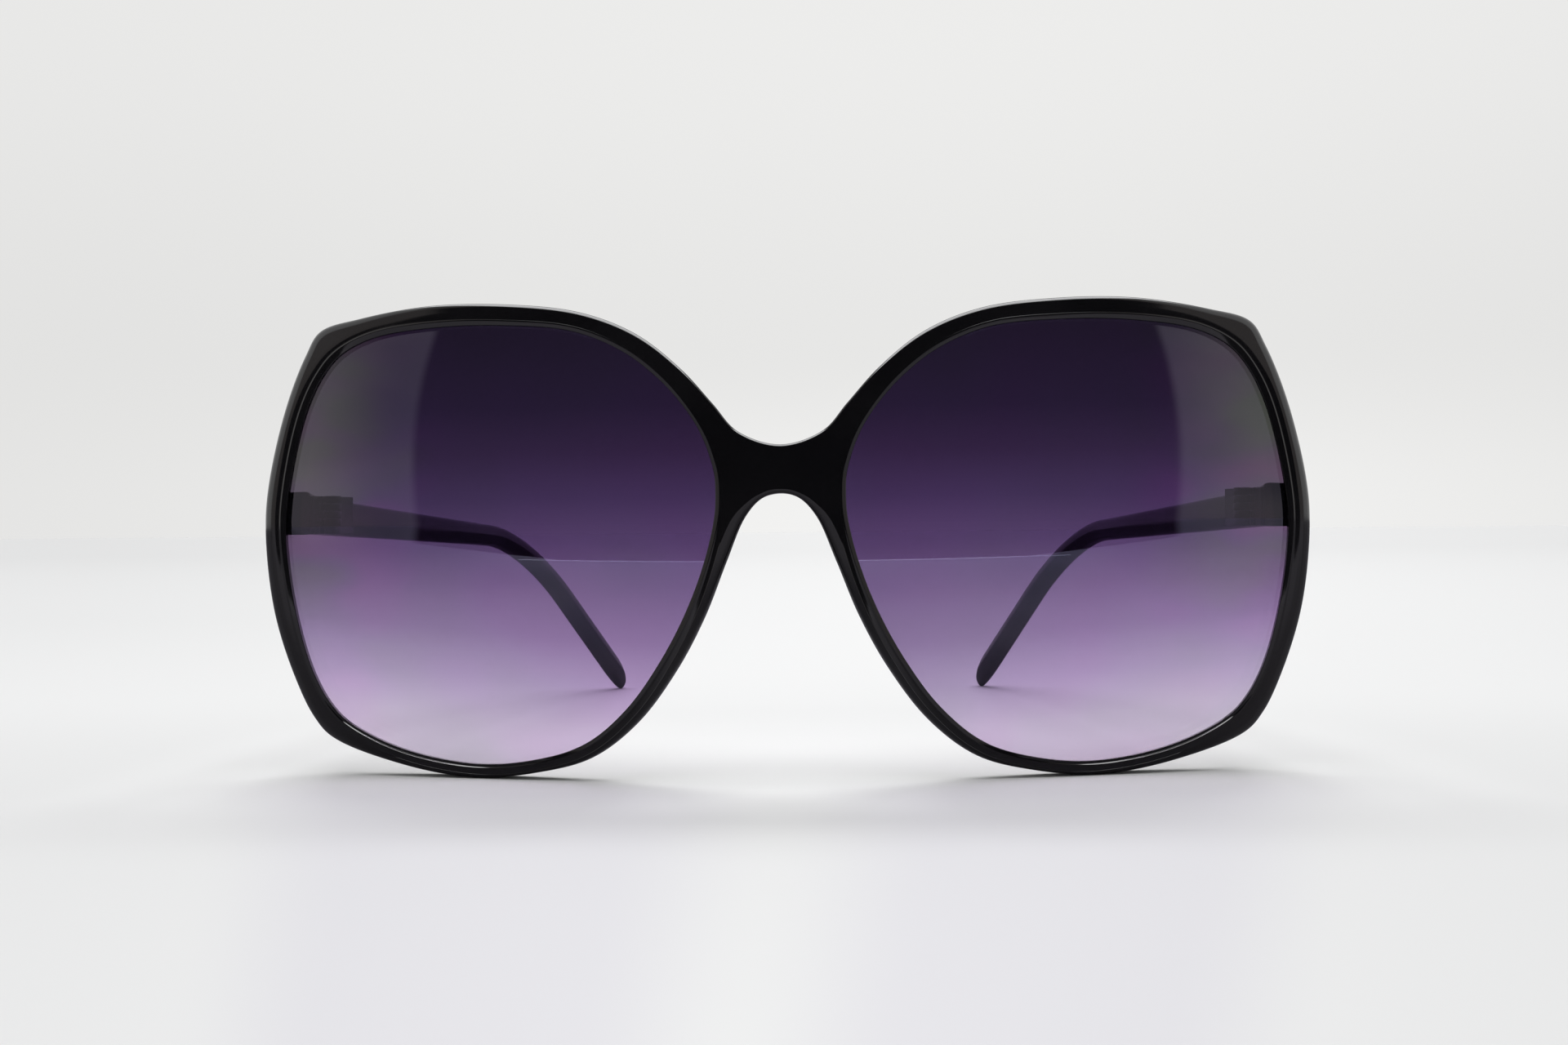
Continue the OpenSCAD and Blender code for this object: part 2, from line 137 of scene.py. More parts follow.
def mix_colour(tree, share, a, b, kind="MIX"):
    """Mixes two colours, by number of the Mix node's colour sockets."""
    return add_node(tree, "ShaderNodeMix", {"data_type": "RGBA", "blend_type": kind},
                    out=2, _0=share, _6=a, _7=b)


def ramp(value, stops):
    """A colour ramp from (place, (r, g, b)) stops."""
    wire = add_node(value.tree, "ShaderNodeValToRGB", _0=value)
    points = wire.node.color_ramp.elements
    while len(points) < len(stops):
        points.new(0.5)
    for point, (place, colour) in zip(points, stops):
        point.position, point.color = place, (*colour, 1)
    return wire


def new_material(name):
    """A material with an empty tree, and its object coordinates."""
    made = bpy.data.materials.new(name)
    made.use_nodes = True
    tree = made.node_tree
    tree.nodes.clear()
    return made, tree, add_node(tree, "ShaderNodeTexCoord", out="Object")


def with_shader(made, **sockets):
    """Ends a material's tree in a Principled shader with these sockets."""
    shader = add_node(made.node_tree, "ShaderNodeBsdfPrincipled", **sockets)
    add_node(made.node_tree, "ShaderNodeOutputMaterial", Surface=shader)
    return made


def grain(tree, place, scale, detail=2.0, roughness=0.5):
    """Noise at that many waves a metre."""
    return add_node(tree, "ShaderNodeTexNoise", Vector=place, Scale=scale, Detail=detail,
                    Roughness=roughness)


def bump(tree, height, distance, strength=1.0):
    return add_node(tree, "ShaderNodeBump", Height=height, Distance=distance, Strength=strength)


print("operators ready")

# %% [markdown]
# ## Polished black plastic
# The front and temples are tumbled cellulose plastic: almost black, with a lacquer-like shine. A mirror
# finish looks false, because tumbling leaves faint waves about four millimetres long, and handling leaves
# hairlines. So the roughness wanders a little, and two very shallow bumps bend the reflections.

# %% Frame plastic
DEEP_BLACK, WORN_BLACK, PLASTIC_IOR = (0.0048, 0.0046, 0.0054, 1), (0.0072, 0.0068, 0.0078, 1), 1.5
# Waves a metre for each kind of mark, and the height of the bumps in metres
TUMBLED, CLOUDY, HAIRLINES, RUBBED, WAVE_HEIGHT = 260, 60, 2600, 1500, 0.00002


def frame_plastic():
    made, tree, place = new_material("polished_black_plastic")
    cloud = grain(tree, place, CLOUDY, 3)
    drawn = add_node(tree, "ShaderNodeMapping", Vector=place, Scale=(1.0, 6.0, 0.35))
    hairlines = smooth_step(grain(tree, drawn, HAIRLINES, 3, 0.7), 0.62, 0.75)
    tint = mix_colour(tree, smooth_step(cloud, 0.35, 0.65), DEEP_BLACK, WORN_BLACK)
    waves = grain(tree, place, TUMBLED, 2) * 0.7 + grain(tree, place, RUBBED, 2) * 0.05
    return with_shader(made, Base_Color=tint, Roughness=0.055 + cloud * 0.05 + hairlines * 0.05,
                       Normal=bump(tree, waves, WAVE_HEIGHT, 0.5), IOR=PLASTIC_IOR, Specular_IOR_Level=0.5)


plastic = frame_plastic()
print("made", plastic.name)

# %% [markdown]
# ## Graded lens tint
# The lens is clear plastic dipped in purple dye from the top, so the tint fades downwards. Glass in a
# renderer is a Principled shader with full transmission, whose Base Color is what is left of the light
# after both faces. The dye is then one colour ramp up the lens's height. A hard coat about 190 nanometres
# thick gives the faint green and violet patches in the reflections.

# %% Lens tint
LENS_LOW, LENS_HIGH, LENS_IOR, FILM_NM, FILM_IOR = 1.4 * MM, 64.4 * MM, 1.5, 190.0, 1.6
# Light that passes at heights from the bottom of the lens to the top
DYE = [
    (0.00, (0.740, 0.630, 0.800)), (0.05, (0.700, 0.585, 0.770)), (0.10, (0.650, 0.535, 0.730)),
    (0.15, (0.560, 0.440, 0.660)), (0.20, (0.462, 0.345, 0.570)), (0.30, (0.293, 0.195, 0.385)),
    (0.40, (0.193, 0.116, 0.264)), (0.50, (0.112, 0.063, 0.176)), (0.60, (0.065, 0.037, 0.112)),
    (0.70, (0.041, 0.022, 0.068)), (0.80, (0.025, 0.0145, 0.044)), (1.00, (0.017, 0.011, 0.027))]
TEMPLE_SIDE_GREY = (0.20, 0.175, 0.17, 1)
SHIMMER = [(0.35, (1.0, 0.95, 1.0)), (0.5, (0.99, 1.0, 1.0)), (0.65, (0.95, 1.0, 0.95))]
PAINTED_FILM_COLOURS = [(0.36, (1.22, 0.93, 1.12)), (0.48, (1.0, 1.0, 1.0)), (0.62, (0.92, 1.16, 0.82))]
# Zones of the lens, as distances from the middle plane in metres and as shares of its height
PALE_FROM, GREY_ZONE, PAINTED_FILM_ZONE, UPPER_HALF = 0.033, (0.053, 0.071), (0.045, 0.060), (0.3, 0.55)


def lens_tint():
    made, tree, place = new_material("graded_lens_tint")
    x, _, z = axes(place)
    wide = abs(x)
    height = (z - LENS_LOW) / (LENS_HIGH - LENS_LOW) + (grain(tree, place, 35, 2) - 0.5) * 0.012
    upper = smooth_step(height, *UPPER_HALF)
    # The bath was a little shallower towards the temples, so the lower half is paler there
    shallow = (wide - PALE_FROM) * 1.3 * (1 - upper)
    # Near the temples the tint's upper half turns greyer
    greyed = smooth_step(wide, *GREY_ZONE) * upper * 0.34
    tint = mix_colour(tree, greyed, ramp((height - shallow).clipped(), DYE), TEMPLE_SIDE_GREY)
    tint = mix_colour(tree, 1.0, tint, ramp(grain(tree, place, 55, 1), SHIMMER), "MULTIPLY")
    # Painted reflection colours: pink and olive patches near the temples stand for the hard coat's
    # interference colours
    drawn = add_node(tree, "ShaderNodeMapping", Vector=place, Scale=(1.0, 1.0, 2.2))
    film_coloured = mix_colour(tree, 1.0, tint, ramp(grain(tree, drawn, 62, 1), PAINTED_FILM_COLOURS), "MULTIPLY")
    film_colour_share = smooth_step(wide, *PAINTED_FILM_ZONE) * stepped(height, 0.15, [(0.25, 0.6, 0.85)])
    # The hard coat varies in thickness, so its reflection comes in soft patches
    patches = smooth_step(grain(tree, drawn, 38, 2, 0.45), 0.40, 0.68)
    return with_shader(made, Base_Color=mix_colour(tree, film_colour_share, tint, film_coloured), Roughness=0.0,
                       IOR=LENS_IOR, Transmission_Weight=1.0, Thin_Film_Thickness=FILM_NM,
                       Thin_Film_IOR=FILM_IOR, Coat_Weight=patches * 0.6, Coat_Roughness=0.0,
                       Coat_IOR=LENS_IOR)


lens_dye = lens_tint()
print("made", lens_dye.name)

# %% [markdown]
# ## Dark hinge metal and the screw's steel
# The leaves are nickel silver under a dark lacquer: metal that has lost most of its shine, with tiny pits
# from the stamping. The screw is bare steel, brighter, with fine turning marks round its head.

# %% Hinge metals
LACQUERS = (0.060, 0.058, 0.062, 1), (0.115, 0.112, 0.118, 1)
STEELS = (0.30, 0.30, 0.31, 1), (0.46, 0.46, 0.47, 1)


def hinge_lacquer():
    made, tree, place = new_material("dark_hinge_metal")
    pits = grain(tree, place, 1800, 3, 0.6)
    tint = mix_colour(tree, smooth_step(pits, 0.3, 0.7), *LACQUERS)
    return with_shader(made, Base_Color=tint, Metallic=0.85, Roughness=0.30 + pits * 0.12,
                       Normal=bump(tree, pits, 0.00002, 0.5))


def screw_steel():
    made, tree, place = new_material("turned_screw_steel")
    marks = grain(tree, place, 3200, 2)
    tint = mix_colour(tree, marks, *STEELS)
    return with_shader(made, Base_Color=tint, Metallic=1.0, Roughness=0.24 + marks * 0.14,
                       Normal=bump(tree, marks, 0.00001, 0.4))


hinge_metal = hinge_lacquer()
screw_metal = screw_steel()
print("made", hinge_metal.name, screw_metal.name)

# %% [markdown]
# ## The sizes that the CAD model has
# The looks have to sit on the solids, so the front's sizes are repeated here in millimetres: the lens
# openings, the rim, the bridge, the endpieces and the curve that they all follow. Rows of shares give the
# outline, and a smooth curve runs through them.

# %% Sizes of the front
LENS_W, LENS_H, LENS_T = 62.4, 61.2, 1.8
WRAP_R, FACE_R, CROWN_Z = 210.0, 120.0, 36.0
BRIDGE_W, BRIDGE_H, BRIDGE_Z = 17.0, 6.6, 43.0
RIM_W, RIM_T, PAD_L, ENDPIECE_L = 3.0, 4.0, 5.2, 2.6
BLADE_H, BLADE_T, HINGE_Z, HINGE_H, BARREL_D = 5.4, 4.4, 37.4, 5.5, 2.4
LIP, GROOVE, BEVEL, BACK_LIP = 1.05, 0.8, 0.6, 0.2
EDGE_INSET, EDGE_DEPTH, EDGE_SHARE = 1.2, 0.9, 0.3
BACK_EDGE, BACK_LAND, PAD_T, PAD_FLARE = 0.5, 1.2, 1.6, 0.9
LENS_GAP, BARREL_STAND, HINGE_INSET = 0.05, 0.9, 4.9
PIECE_FLARE, PIECE_RISE, PIECE_CLEAR, PIECE_EDGE = 0.7, 0.2, 0.3, 0.4
OPENING = np.array([
    [-0.942, 0.452], [-0.904, 0.530], [-0.837, 0.628], [-0.740, 0.736], [-0.583, 0.861],
    [-0.353, 0.961], [-0.038, 0.998], [0.292, 1.000], [0.587, 0.963], [0.743, 0.890],
    [0.829, 0.794], [0.911, 0.616], [0.991, 0], [1.005, 0], [0.965, -0.299],
    [0.888, -0.592], [0.808, -0.742], [0.721, -0.827], [0.474, -0.942], [0.131, -1.005],
    [-0.151, -0.982], [-0.388, -0.904], [-0.580, -0.742], [-0.737, -0.524], [-0.856, -0.299],
    [-0.939, -0.077], [-0.984, 0.116], [-0.990, 0.223], [-0.986, 0.302], [-0.968, 0.377]])
RIM = np.array([
    [0, 0], [0, 0], [-1.51, -0.09], [-1.08, 0.41], [-0.58, 0.84],
    [-0.34, 0.90], [-0.04, 1.02], [0.27, 1.07], [0.74, 1.01], [1.25, 1.22],
    [1.06, 1.03], [1.17, 0.24], [1.21, 0.03], [1.18, 0], [1.21, -0.19],
    [1.06, -0.41], [1.07, -0.66], [1.11, -0.75], [0.30, -0.78], [0.11, -0.72],
    [-0.18, -0.63], [-0.32, -0.68], [-0.56, -0.62], [-0.79, -0.39], [-0.87, -0.26], [-1.01, -0.05]])
BRIDGE_TOP = np.array([[0, 0.495], [0.34, 0.78]])
BRIDGE_ARCH = np.array([[0.28, -0.99], [0.145, -0.61], [0, -0.51]])
PAD_ROWS, SOFT_ROWS, SOFT_SHARE = (21.5, 27.8), (20, 26.8), 0.9
TOP_ROW, LOW_ROW, BOTTOM_ROW, ARCH_ROW, ROWS = 12, 13, 19, 28, 30
CORNER_ANGLE, CORNER_BEVEL, BRIDGE_MARGIN = radians(40), 0.5, 0.2
# Along the lower outer arc the lip ends in a steep flank below the ridge
STEP_ROWS, STEP_W, STEP_SLOPE = (15.3, 20.8), 0.2, tan(radians(56))
RIDGE_DEPTH, VALLEY_DEPTH, VALLEY_W, CREST_DEPTH, CREST_W = 0.12, 0.17, 0.2, 0.03, 0.85
LIP_SLOPE = tan(radians(21))
# How broad the outer edge's chamfer is at rows of the outline: narrow over the bridge and in its arch
EDGE_ROWS, EDGE_BREADTH = (0, 7, 8, 9, 25.8, 27, 28, 30), (0.4, 0.4, 0.7, 1.0, 1.0, 0.5, 0.42, 0.42)

LENS_X = BRIDGE_W / 2 + LENS_W / 2
LENS_Z = -OPENING[BOTTOM_ROW][1] * LENS_H / 2 - RIM[BOTTOM_ROW][1] * RIM_W
HINGE_X = BRIDGE_W / 2 + LENS_W - HINGE_INSET
FACE_X = BARREL_D / 2 + BARREL_STAND
INNER_X = HINGE_X + FACE_X
END_X = LENS_X + LENS_W / 2 + RIM[LOW_ROW][0] * RIM_W
PIECE_H = BLADE_H + PIECE_FLARE


def curve_y(x, z, d):
    """Depth of the front's curved face at (x, z), d behind its foremost surface."""
    rho = WRAP_R - FACE_R + sqrt((FACE_R - d) ** 2 - (z - CROWN_Z) ** 2)
    return WRAP_R - sqrt(rho * rho - x * x)


def on_curve(p, d):
    return np.array([p[0], curve_y(p[0], p[1], d), p[1]])


JOINT_Y = curve_y(END_X, HINGE_Z, 0) + RIM_T + ENDPIECE_L
print(f"hinge axis x {HINGE_X:.2f}, joint plane y {JOINT_Y:.3f}")

# %% Rows of the outline and the curve through them
def row_z(i):
    if i in (TOP_ROW, LOW_ROW):
        return HINGE_Z + PIECE_RISE + (PIECE_H / 2 if i == TOP_ROW else -PIECE_H / 2)
    return LENS_Z + OPENING[i][1] * LENS_H / 2


opening_rows = np.array([[LENS_X + OPENING[i][0] * LENS_W / 2, row_z(i)] for i in range(ROWS)])
bridge_scale = np.array([BRIDGE_W, BRIDGE_H])
outer_rows = opening_rows[:len(RIM)] + RIM * RIM_W
outer_rows[:2] = BRIDGE_TOP * bridge_scale + [0, BRIDGE_Z]
outer_rows = np.vstack([outer_rows, BRIDGE_ARCH * bridge_scale + [0, BRIDGE_Z]])
FLIP = np.array([-1, 1])


def outer_row(i):
    if i < 0:
        return outer_rows[-i] * FLIP
    return outer_rows[2 * ARCH_ROW - i] * FLIP if i > ARCH_ROW else outer_rows[i]


def curve_point(p, s):
    """The place at share s between the middle two of four points, on a smooth curve."""
    knots = [0.0]
    for a, b in zip(p, p[1:]):
        knots.append(knots[-1] + sqrt(np.linalg.norm(b - a)))
    t = knots[1] + (knots[2] - knots[1]) * s
    level = list(p)
    for span in (1, 2):
        level = [((knots[i + span] - t) * level[i] + (t - knots[i]) * level[i + 1])
                 / (knots[i + span] - knots[i]) for i in range(len(level) - 1)]
    return ((knots[2] - t) * level[0] + (t - knots[1]) * level[1]) / (knots[2] - knots[1])


def opening_at(t):
    i = floor(t)
    return curve_point([opening_rows[(i + j) % ROWS] for j in (-1, 0, 1, 2)], t - i)


def outer_at(t):
    if t > ARCH_ROW:
        margin = BRIDGE_MARGIN * BRIDGE_H
        share = (t - ARCH_ROW) / (ROWS - ARCH_ROW)
        return np.array([0, BRIDGE_Z - BRIDGE_H / 2 + margin + (BRIDGE_H - 2 * margin) * share])
    i = min(floor(t), ARCH_ROW - 1)
    return curve_point([outer_row(i + j) for j in (-1, 0, 1, 2)], t - i)


def unit(v):
    return v / np.linalg.norm(v)


def inward(t):
    """Inward normal of the outer edge."""
    if t == 0:
        return np.array([0.0, -1.0])
    if t == ARCH_ROW:
        return np.array([0.0, 1.0])
    step = 0.02
    run = outer_at(min(t + step, ARCH_ROW)) - outer_at(max(t - step, 0))
    return unit(np.array([run[1], -run[0]]))


def swell(rows, t):
    """Rises from 0 to 1 and falls again between two rows."""
    share = (t - rows[0]) / (rows[1] - rows[0])
    return sin(pi * share) ** 2 if 0 < share < 1 else 0.0


print("outline rows", len(opening_rows), "opening", len(outer_rows), "outer")

# %% [markdown]
# ## Meshes from rings
# The front, the lenses and the barrels are all rings of points joined to the next ring. One helper turns
# rings into a mesh, drops faces without area, merges what coincides and shades it: smooth, except
# where two faces meet at more than a set angle. Weighted normals keep the broad faces flat and push the
# shading into the small rounded edges, which is what makes a moulded edge catch a thin line of light.

# %% Helpers for meshes and pieces
MERGE, WELD = 0.0005, 0.001


def face_out(build, mesh):
    """Turns the faces outwards and writes them to the mesh."""
    bmesh.ops.recalc_face_normals(build, faces=build.faces)
    if build.calc_volume(signed=True) < 0:
        bmesh.ops.reverse_faces(build, faces=build.faces)
    build.to_mesh(mesh)
    build.free()
    return mesh


def raw_mesh(name, points, faces, edges=()):
    mesh = bpy.data.meshes.new(name)
    mesh.from_pydata([tuple(p) for p in points], edges, faces)
    return mesh


def placed(name, data):
    """A new object in the scene that holds the data."""
    made = bpy.data.objects.new(name, data)
    bpy.context.scene.collection.objects.link(made)
    return made


def finished(holder):
    """The plain mesh that an object's modifiers make; the object itself is removed."""
    mesh = bpy.data.meshes.new_from_object(
        holder.evaluated_get(bpy.context.evaluated_depsgraph_get()))
    bpy.data.objects.remove(holder)
    return mesh


def mesh_from(name, points, faces, keep=None):
    """A mesh from points in millimetres, in the drawing's own frame."""
    mesh = raw_mesh(name, points, faces)
    build = bmesh.new()
    build.from_mesh(mesh)
    if keep:
        bmesh.ops.delete(build, geom=[f for f in build.faces if not keep(f)], context="FACES")
    bmesh.ops.remove_doubles(build, verts=build.verts, dist=MERGE)
    bmesh.ops.dissolve_degenerate(build, edges=build.edges, dist=MERGE / 5)
    loose = [v for v in build.verts if not v.link_faces]
    bmesh.ops.delete(build, geom=loose, context="VERTS")
    return face_out(build, mesh)


def ring_faces(rings, sides, closed):
    """Quads between neighbouring rings; closed joins the last ring to the first."""
    return [(i * sides + j, i * sides + (j + 1) % sides,
             ((i + 1) % rings) * sides + (j + 1) % sides, ((i + 1) % rings) * sides + j)
            for i in range(rings if closed else rings - 1) for j in range(sides)]


# The foremost and the rearmost point of the drawing: the frame's origin lies midway
FRONT_Y, BACK_Y = 0.083, 143.448
CENTRE_Y = (FRONT_Y + BACK_Y) / 2


def to_frame(mesh):
    """From the drawing's millimetres to the frame's metres."""
    mesh.transform(Matrix.Scale(MM, 4) @ Matrix.Translation((0, -CENTRE_Y, 0)))
    return mesh


def mirrored(mesh):
    """The same mesh on the other side, with its faces still outwards."""
    twin = mesh.copy()
    twin.transform(Matrix.Diagonal((-1, 1, 1, 1)))
    twin.flip_normals()
    return twin


def piece(name, mesh, material, body, node, sharp=35):
    """Puts a finished mesh in the scene as a piece of the part."""
    mesh.materials.clear()
    mesh.materials.append(material)
    mesh.shade_smooth()
    mesh.set_sharp_from_angle(angle=radians(sharp))
    made = placed(name, mesh)
    weigh = made.modifiers.new("weigh", "WEIGHTED_NORMAL")
    weigh.keep_sharp = True
    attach(made, body)
    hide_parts(node)
    print(f"{name}: {len(mesh.vertices)} points, {len(mesh.polygons)} faces on {body}")
    return made


def pair(name, mesh, material, bodies, node, sharp=35):
    """Puts the mesh on the left body, and its mirror image on the right one."""
    made = []
    for side, body in bodies.items():
        shape = mesh.copy() if side == "left" else mirrored(mesh)
        made.append(piece(f"{name}_{side}", shape, material, body, f"{node}_{side}", sharp))
    return made


# %% [markdown]
# ## The front
# The real front is one moulding: two rims, the bridge, the nose pads and the endpieces. In section, the
# rim has a groove for the lens, a sloping lip over it that ends in a ridge, a shallow valley, a low crest,
# a flat face and a rounded outer edge. Along the lower outer arc the lip also has a steep flank below its
# ridge. The section is drawn once as corners, each corner is rounded by its own radius, and the section
# travels round the lens opening. At the endpiece the same section reaches back to the joint. Near the
# middle plane both halves meet on one line, so that the bridge is one skin.

# %% One rounded section of the rim
ARC, SIDE_SHARE = (0.0, 0.16, 0.5, 0.84, 1.0), 0.45
FACE_LEAST, BESIDE_W, BESIDE_SHARE = 0.03, 0.3, 0.4
# The radius at each corner by its number, and of the lip, the step, the ridge, the valley and the crest
RADII, FACE_RADIUS = {3: 0.5, 4: 0.5, 5: 0.6, 6: 0.6, 8: 0.5, 9: 0.4}, 0.3
RIDGE_RADII = (0.08, 0.06, 0.09, 0.1, 0.4)


def rounded(before, corner, after, radius):
    """Five points round a corner, along a parabola that touches both sides."""
    a = min(radius, SIDE_SHARE * np.linalg.norm(before - corner))
    b = min(radius, SIDE_SHARE * np.linalg.norm(after - corner))
    start, end = corner + unit(before - corner) * a, corner + unit(after - corner) * b
    return [(1 - s) ** 2 * start + 2 * s * (1 - s) * corner + s * s * end for s in ARC]


def rim_corners(t):
    """The section's corners at row t, and its lip, step, valley, crest and a point on the face."""
    a, b = opening_at(t), outer_at(t)
    w, u = np.linalg.norm(b - a), unit(b - a)
    v = a - [LENS_X, LENS_Z]
    corner = max(0.0, cos(atan2(v[1], v[0]) - CORNER_ANGLE))
    bevel = BEVEL * (1 + CORNER_BEVEL * corner ** 3)
    n = inward(t) if t <= ARCH_ROW else np.zeros(2)
    soft = (1 + SOFT_SHARE * swell(SOFT_ROWS, t)) * np.interp(t, EDGE_ROWS, EDGE_BREADTH)
    inset, front_d = min(EDGE_INSET * soft, w - bevel - CREST_W - FACE_LEAST), EDGE_DEPTH * soft
    pad = swell(PAD_ROWS, t)
    back_d, flare = RIM_T + PAD_L * pad, PAD_FLARE * pad
    land = flare + min(BACK_LAND, w / 2) + (PAD_T - BACK_LAND) * pad
    slot = LIP + LENS_T + 2 * LENS_GAP

    def lens(out, depth):
        return on_curve(a + out * u, depth)

    def edge(out, depth):
        return on_curve(b + out * n, depth)

    corners = [lens(0, LIP), lens(bevel, RIDGE_DEPTH), edge(inset, 0),
               edge(inset * EDGE_SHARE, front_d * EDGE_SHARE), edge(0, front_d),
               edge(flare, back_d - BACK_EDGE), edge(flare + BACK_EDGE, back_d), edge(land, back_d),
               lens(BACK_LIP + BACK_EDGE, RIM_T), lens(BACK_LIP, RIM_T - BACK_EDGE),
               lens(BACK_LIP, slot), lens(GROOVE, slot), lens(GROOVE, LIP)]
    steep = LIP_SLOPE + (STEP_SLOPE - LIP_SLOPE) * swell(STEP_ROWS, t)
    face = w - bevel - inset - CREST_W
    return corners, (lens(0, RIDGE_DEPTH + bevel * LIP_SLOPE),
                     lens(bevel - STEP_W, RIDGE_DEPTH + STEP_W * steep),
                     lens(bevel + VALLEY_W, VALLEY_DEPTH), lens(bevel + CREST_W, CREST_DEPTH),
                     edge(inset + min(BESIDE_W, BESIDE_SHARE * face), 0))


def ridge_points(p, lip, step, valley, crest, beside):
    """The lip over the lens, the step below the ridge, the ridge, the valley and the crest."""
    chain = [p[0], lip, step, p[1], valley, crest, beside]
    return [point for i, r in enumerate(RIDGE_RADII) for point in rounded(*chain[i:i + 3], r)]


def rounded_section(p, extra):
    """The whole section as points: corner 2 is rounded towards the edge's normal."""
    made = []
    for j, corner in enumerate(p):
        before, after = p[j - 1], p[(j + 1) % len(p)]
        if j == 1:
            made += ridge_points(p, *extra)
        elif j == 2:
            made += rounded(extra[-1], corner, after, FACE_RADIUS)
        elif j in RADII:
            made += rounded(before, corner, after, RADII[j])
        else:
            made.append(corner)
    return made


def middle_section(p, extra):
    """Behind the arch the outer corners lie in the middle plane and stay sharp."""
    made = []
    for j, corner in enumerate(p):
        made += ridge_points(p, *extra[:-1], p[2]) if j == 1 else (
            rounded(p[j - 1], corner, p[j + 1], RADII[j]) if j in (8, 9) else
            [corner] * (5 if 2 <= j <= 6 else 1))
    return made


def endpiece_section(t, inset):
    """The rim's section with its back carried to the joint, drawn in by inset at the block's edges."""
    p, extra = rim_corners(t)
    z = p[4][2]
    z_joint = HINGE_Z + (z - HINGE_Z - PIECE_RISE) * BLADE_H / PIECE_H
    out_x = INNER_X + BLADE_T
    p[5] = np.array([out_x - inset, JOINT_Y - PIECE_EDGE - inset, z_joint])
    p[6] = np.array([out_x - PIECE_EDGE - inset, JOINT_Y - inset, z_joint])
    p[7] = np.array([INNER_X + inset, JOINT_Y - inset, z_joint])
    p[8] = np.array([INNER_X + inset, curve_y(INNER_X, z, RIM_T + PIECE_CLEAR), z])
    return rounded_section(p, extra)


# %% Rings round the opening, and the front's skin
STEPS, EDGE_ROUND, MIDDLE = 9, 0.45, 0.0001
STATIONS = [i / STEPS for i in range(ROWS * STEPS)]
# Rows close to the block's top and bottom, where its edge is round
NEAR = (0, 0.006, 0.02, 0.045, 0.074)


def edge_inset(t):
    """How far the endpiece's sides are drawn in at row t, as a quarter round at top and bottom."""
    depth = min(t - TOP_ROW, LOW_ROW - t) * PIECE_H
    if depth >= EDGE_ROUND:
        return 0.0
    return EDGE_ROUND - sqrt(EDGE_ROUND ** 2 - (EDGE_ROUND - depth) ** 2)


def front_mesh():
    block = [TOP_ROW + s for s in NEAR] + [TOP_ROW + i / STEPS for i in range(1, STEPS)] + [
        LOW_ROW - s for s in reversed(NEAR)]
    rings = [rounded_section(*rim_corners(t)) for t in STATIONS if t <= TOP_ROW]
    rings += [endpiece_section(t, edge_inset(t)) for t in block]
    rings += [rounded_section(*rim_corners(t)) for t in STATIONS if LOW_ROW <= t <= ARCH_ROW]
    rings += [middle_section(*rim_corners(t)) for t in STATIONS if t > ARCH_ROW]
    sides = len(rings[0])
    left = np.array(rings).reshape(-1, 3)
    faces = ring_faces(len(rings), sides, True)
    points = np.vstack([left, left * [-1, 1, 1]])
    faces += [tuple(len(left) + i for i in reversed(f)) for f in faces]
    return to_frame(mesh_from("front_moulding", points, faces,
                              keep=lambda f: max(abs(v.co.x) for v in f.verts) > MIDDLE))


piece("front_moulding", front_mesh(), plastic, "front", "front_frame")

# %% [markdown]
# ## The lenses
# A lens is cut from a curved sheet, so it has two parallel faces and a straight edge that hides in the
# rim's groove. Rings that shrink from the outline to the centre follow the curve closely, and a ring
# grid keeps the shading even. A flat disc with a bend on it would show creases in its reflections.

# %% Lens rings
LENS_RINGS, LENS_SOFT = 26, 0.15


def lens_mesh():
    edges = [(opening_at(t), outer_at(t)) for t in STATIONS]
    outline = np.array([a + (GROOVE - LENS_GAP) * unit(b - a) for a, b in edges])
    centre = outline.mean(0)
    front_d, back_d = LIP + LENS_GAP, LIP + LENS_GAP + LENS_T
    shares = [sin(pi / 2 * i / LENS_RINGS) for i in range(1, LENS_RINGS + 1)]
    edge = 1 - LENS_SOFT / (LENS_W / 2)
    levels = [(s * edge, front_d) for s in shares]
    levels += [(1, front_d + LENS_SOFT), (1, back_d - LENS_SOFT)]
    levels += [(s * edge, back_d) for s in reversed(shares)]
    points = [on_curve(centre + (p - centre) * s, d) for s, d in levels for p in outline]
    n = len(outline)
    faces = ring_faces(len(levels), n, False)
    for first, d in ((0, front_d), ((len(levels) - 1) * n, back_d)):
        points.append(on_curve(centre, d))
        faces += [(first + i, first + (i + 1) % n, len(points) - 1) for i in range(n)]
    return to_frame(mesh_from("lens_shade", points, faces))


for lens in pair("lens_shade", lens_mesh(), lens_dye, FRONT, "lens"):
    lens.modifiers.clear()

# %% [markdown]
# ## The temples
# A temple runs back from its hinge, bends over the ear and drops to a thick blunt tip. Its section
# follows a rule: nearly square at the joint and nearly round behind the ear, lower and thinner on the
# way, and closing in at the tip. A shape that follows a rule suits Geometry Nodes: a tree sweeps a circle
# along the temple's line and moves each of its points by that rule. The sizes stay open as named inputs.

# %% The temple's line
STRAIGHT_L, BEND_R, DROP_L = 76.0, 50.0, 28.0
BLADE_END_H, BLADE_END_T, TIP_L, TIP_H = 4.0, 3.0, 7.0, 4.4
SPLAY, DROP_TURN, SLOPE = radians(9), radians(29), radians(2.7)
TIP_END, TIP_DROP, TIP_RISE = 0.35, 0.6, 0.27
THIN, ROUND, SQUARE_POWER, ROUND_POWER, JOINT_GAP = 0.33, 0.5, 6.0, 2.6, 0.1
reach = TIP_H * TIP_RISE - HINGE_Z + STRAIGHT_L * sin(SLOPE) + BEND_R * cos(SLOPE)
DROP_PITCH = acos(reach / hypot(BEND_R, DROP_L)) - atan2(DROP_L, BEND_R)
BEND_L = BEND_R * (DROP_PITCH - SLOPE)
TEMPLE_L = STRAIGHT_L + BEND_L + DROP_L
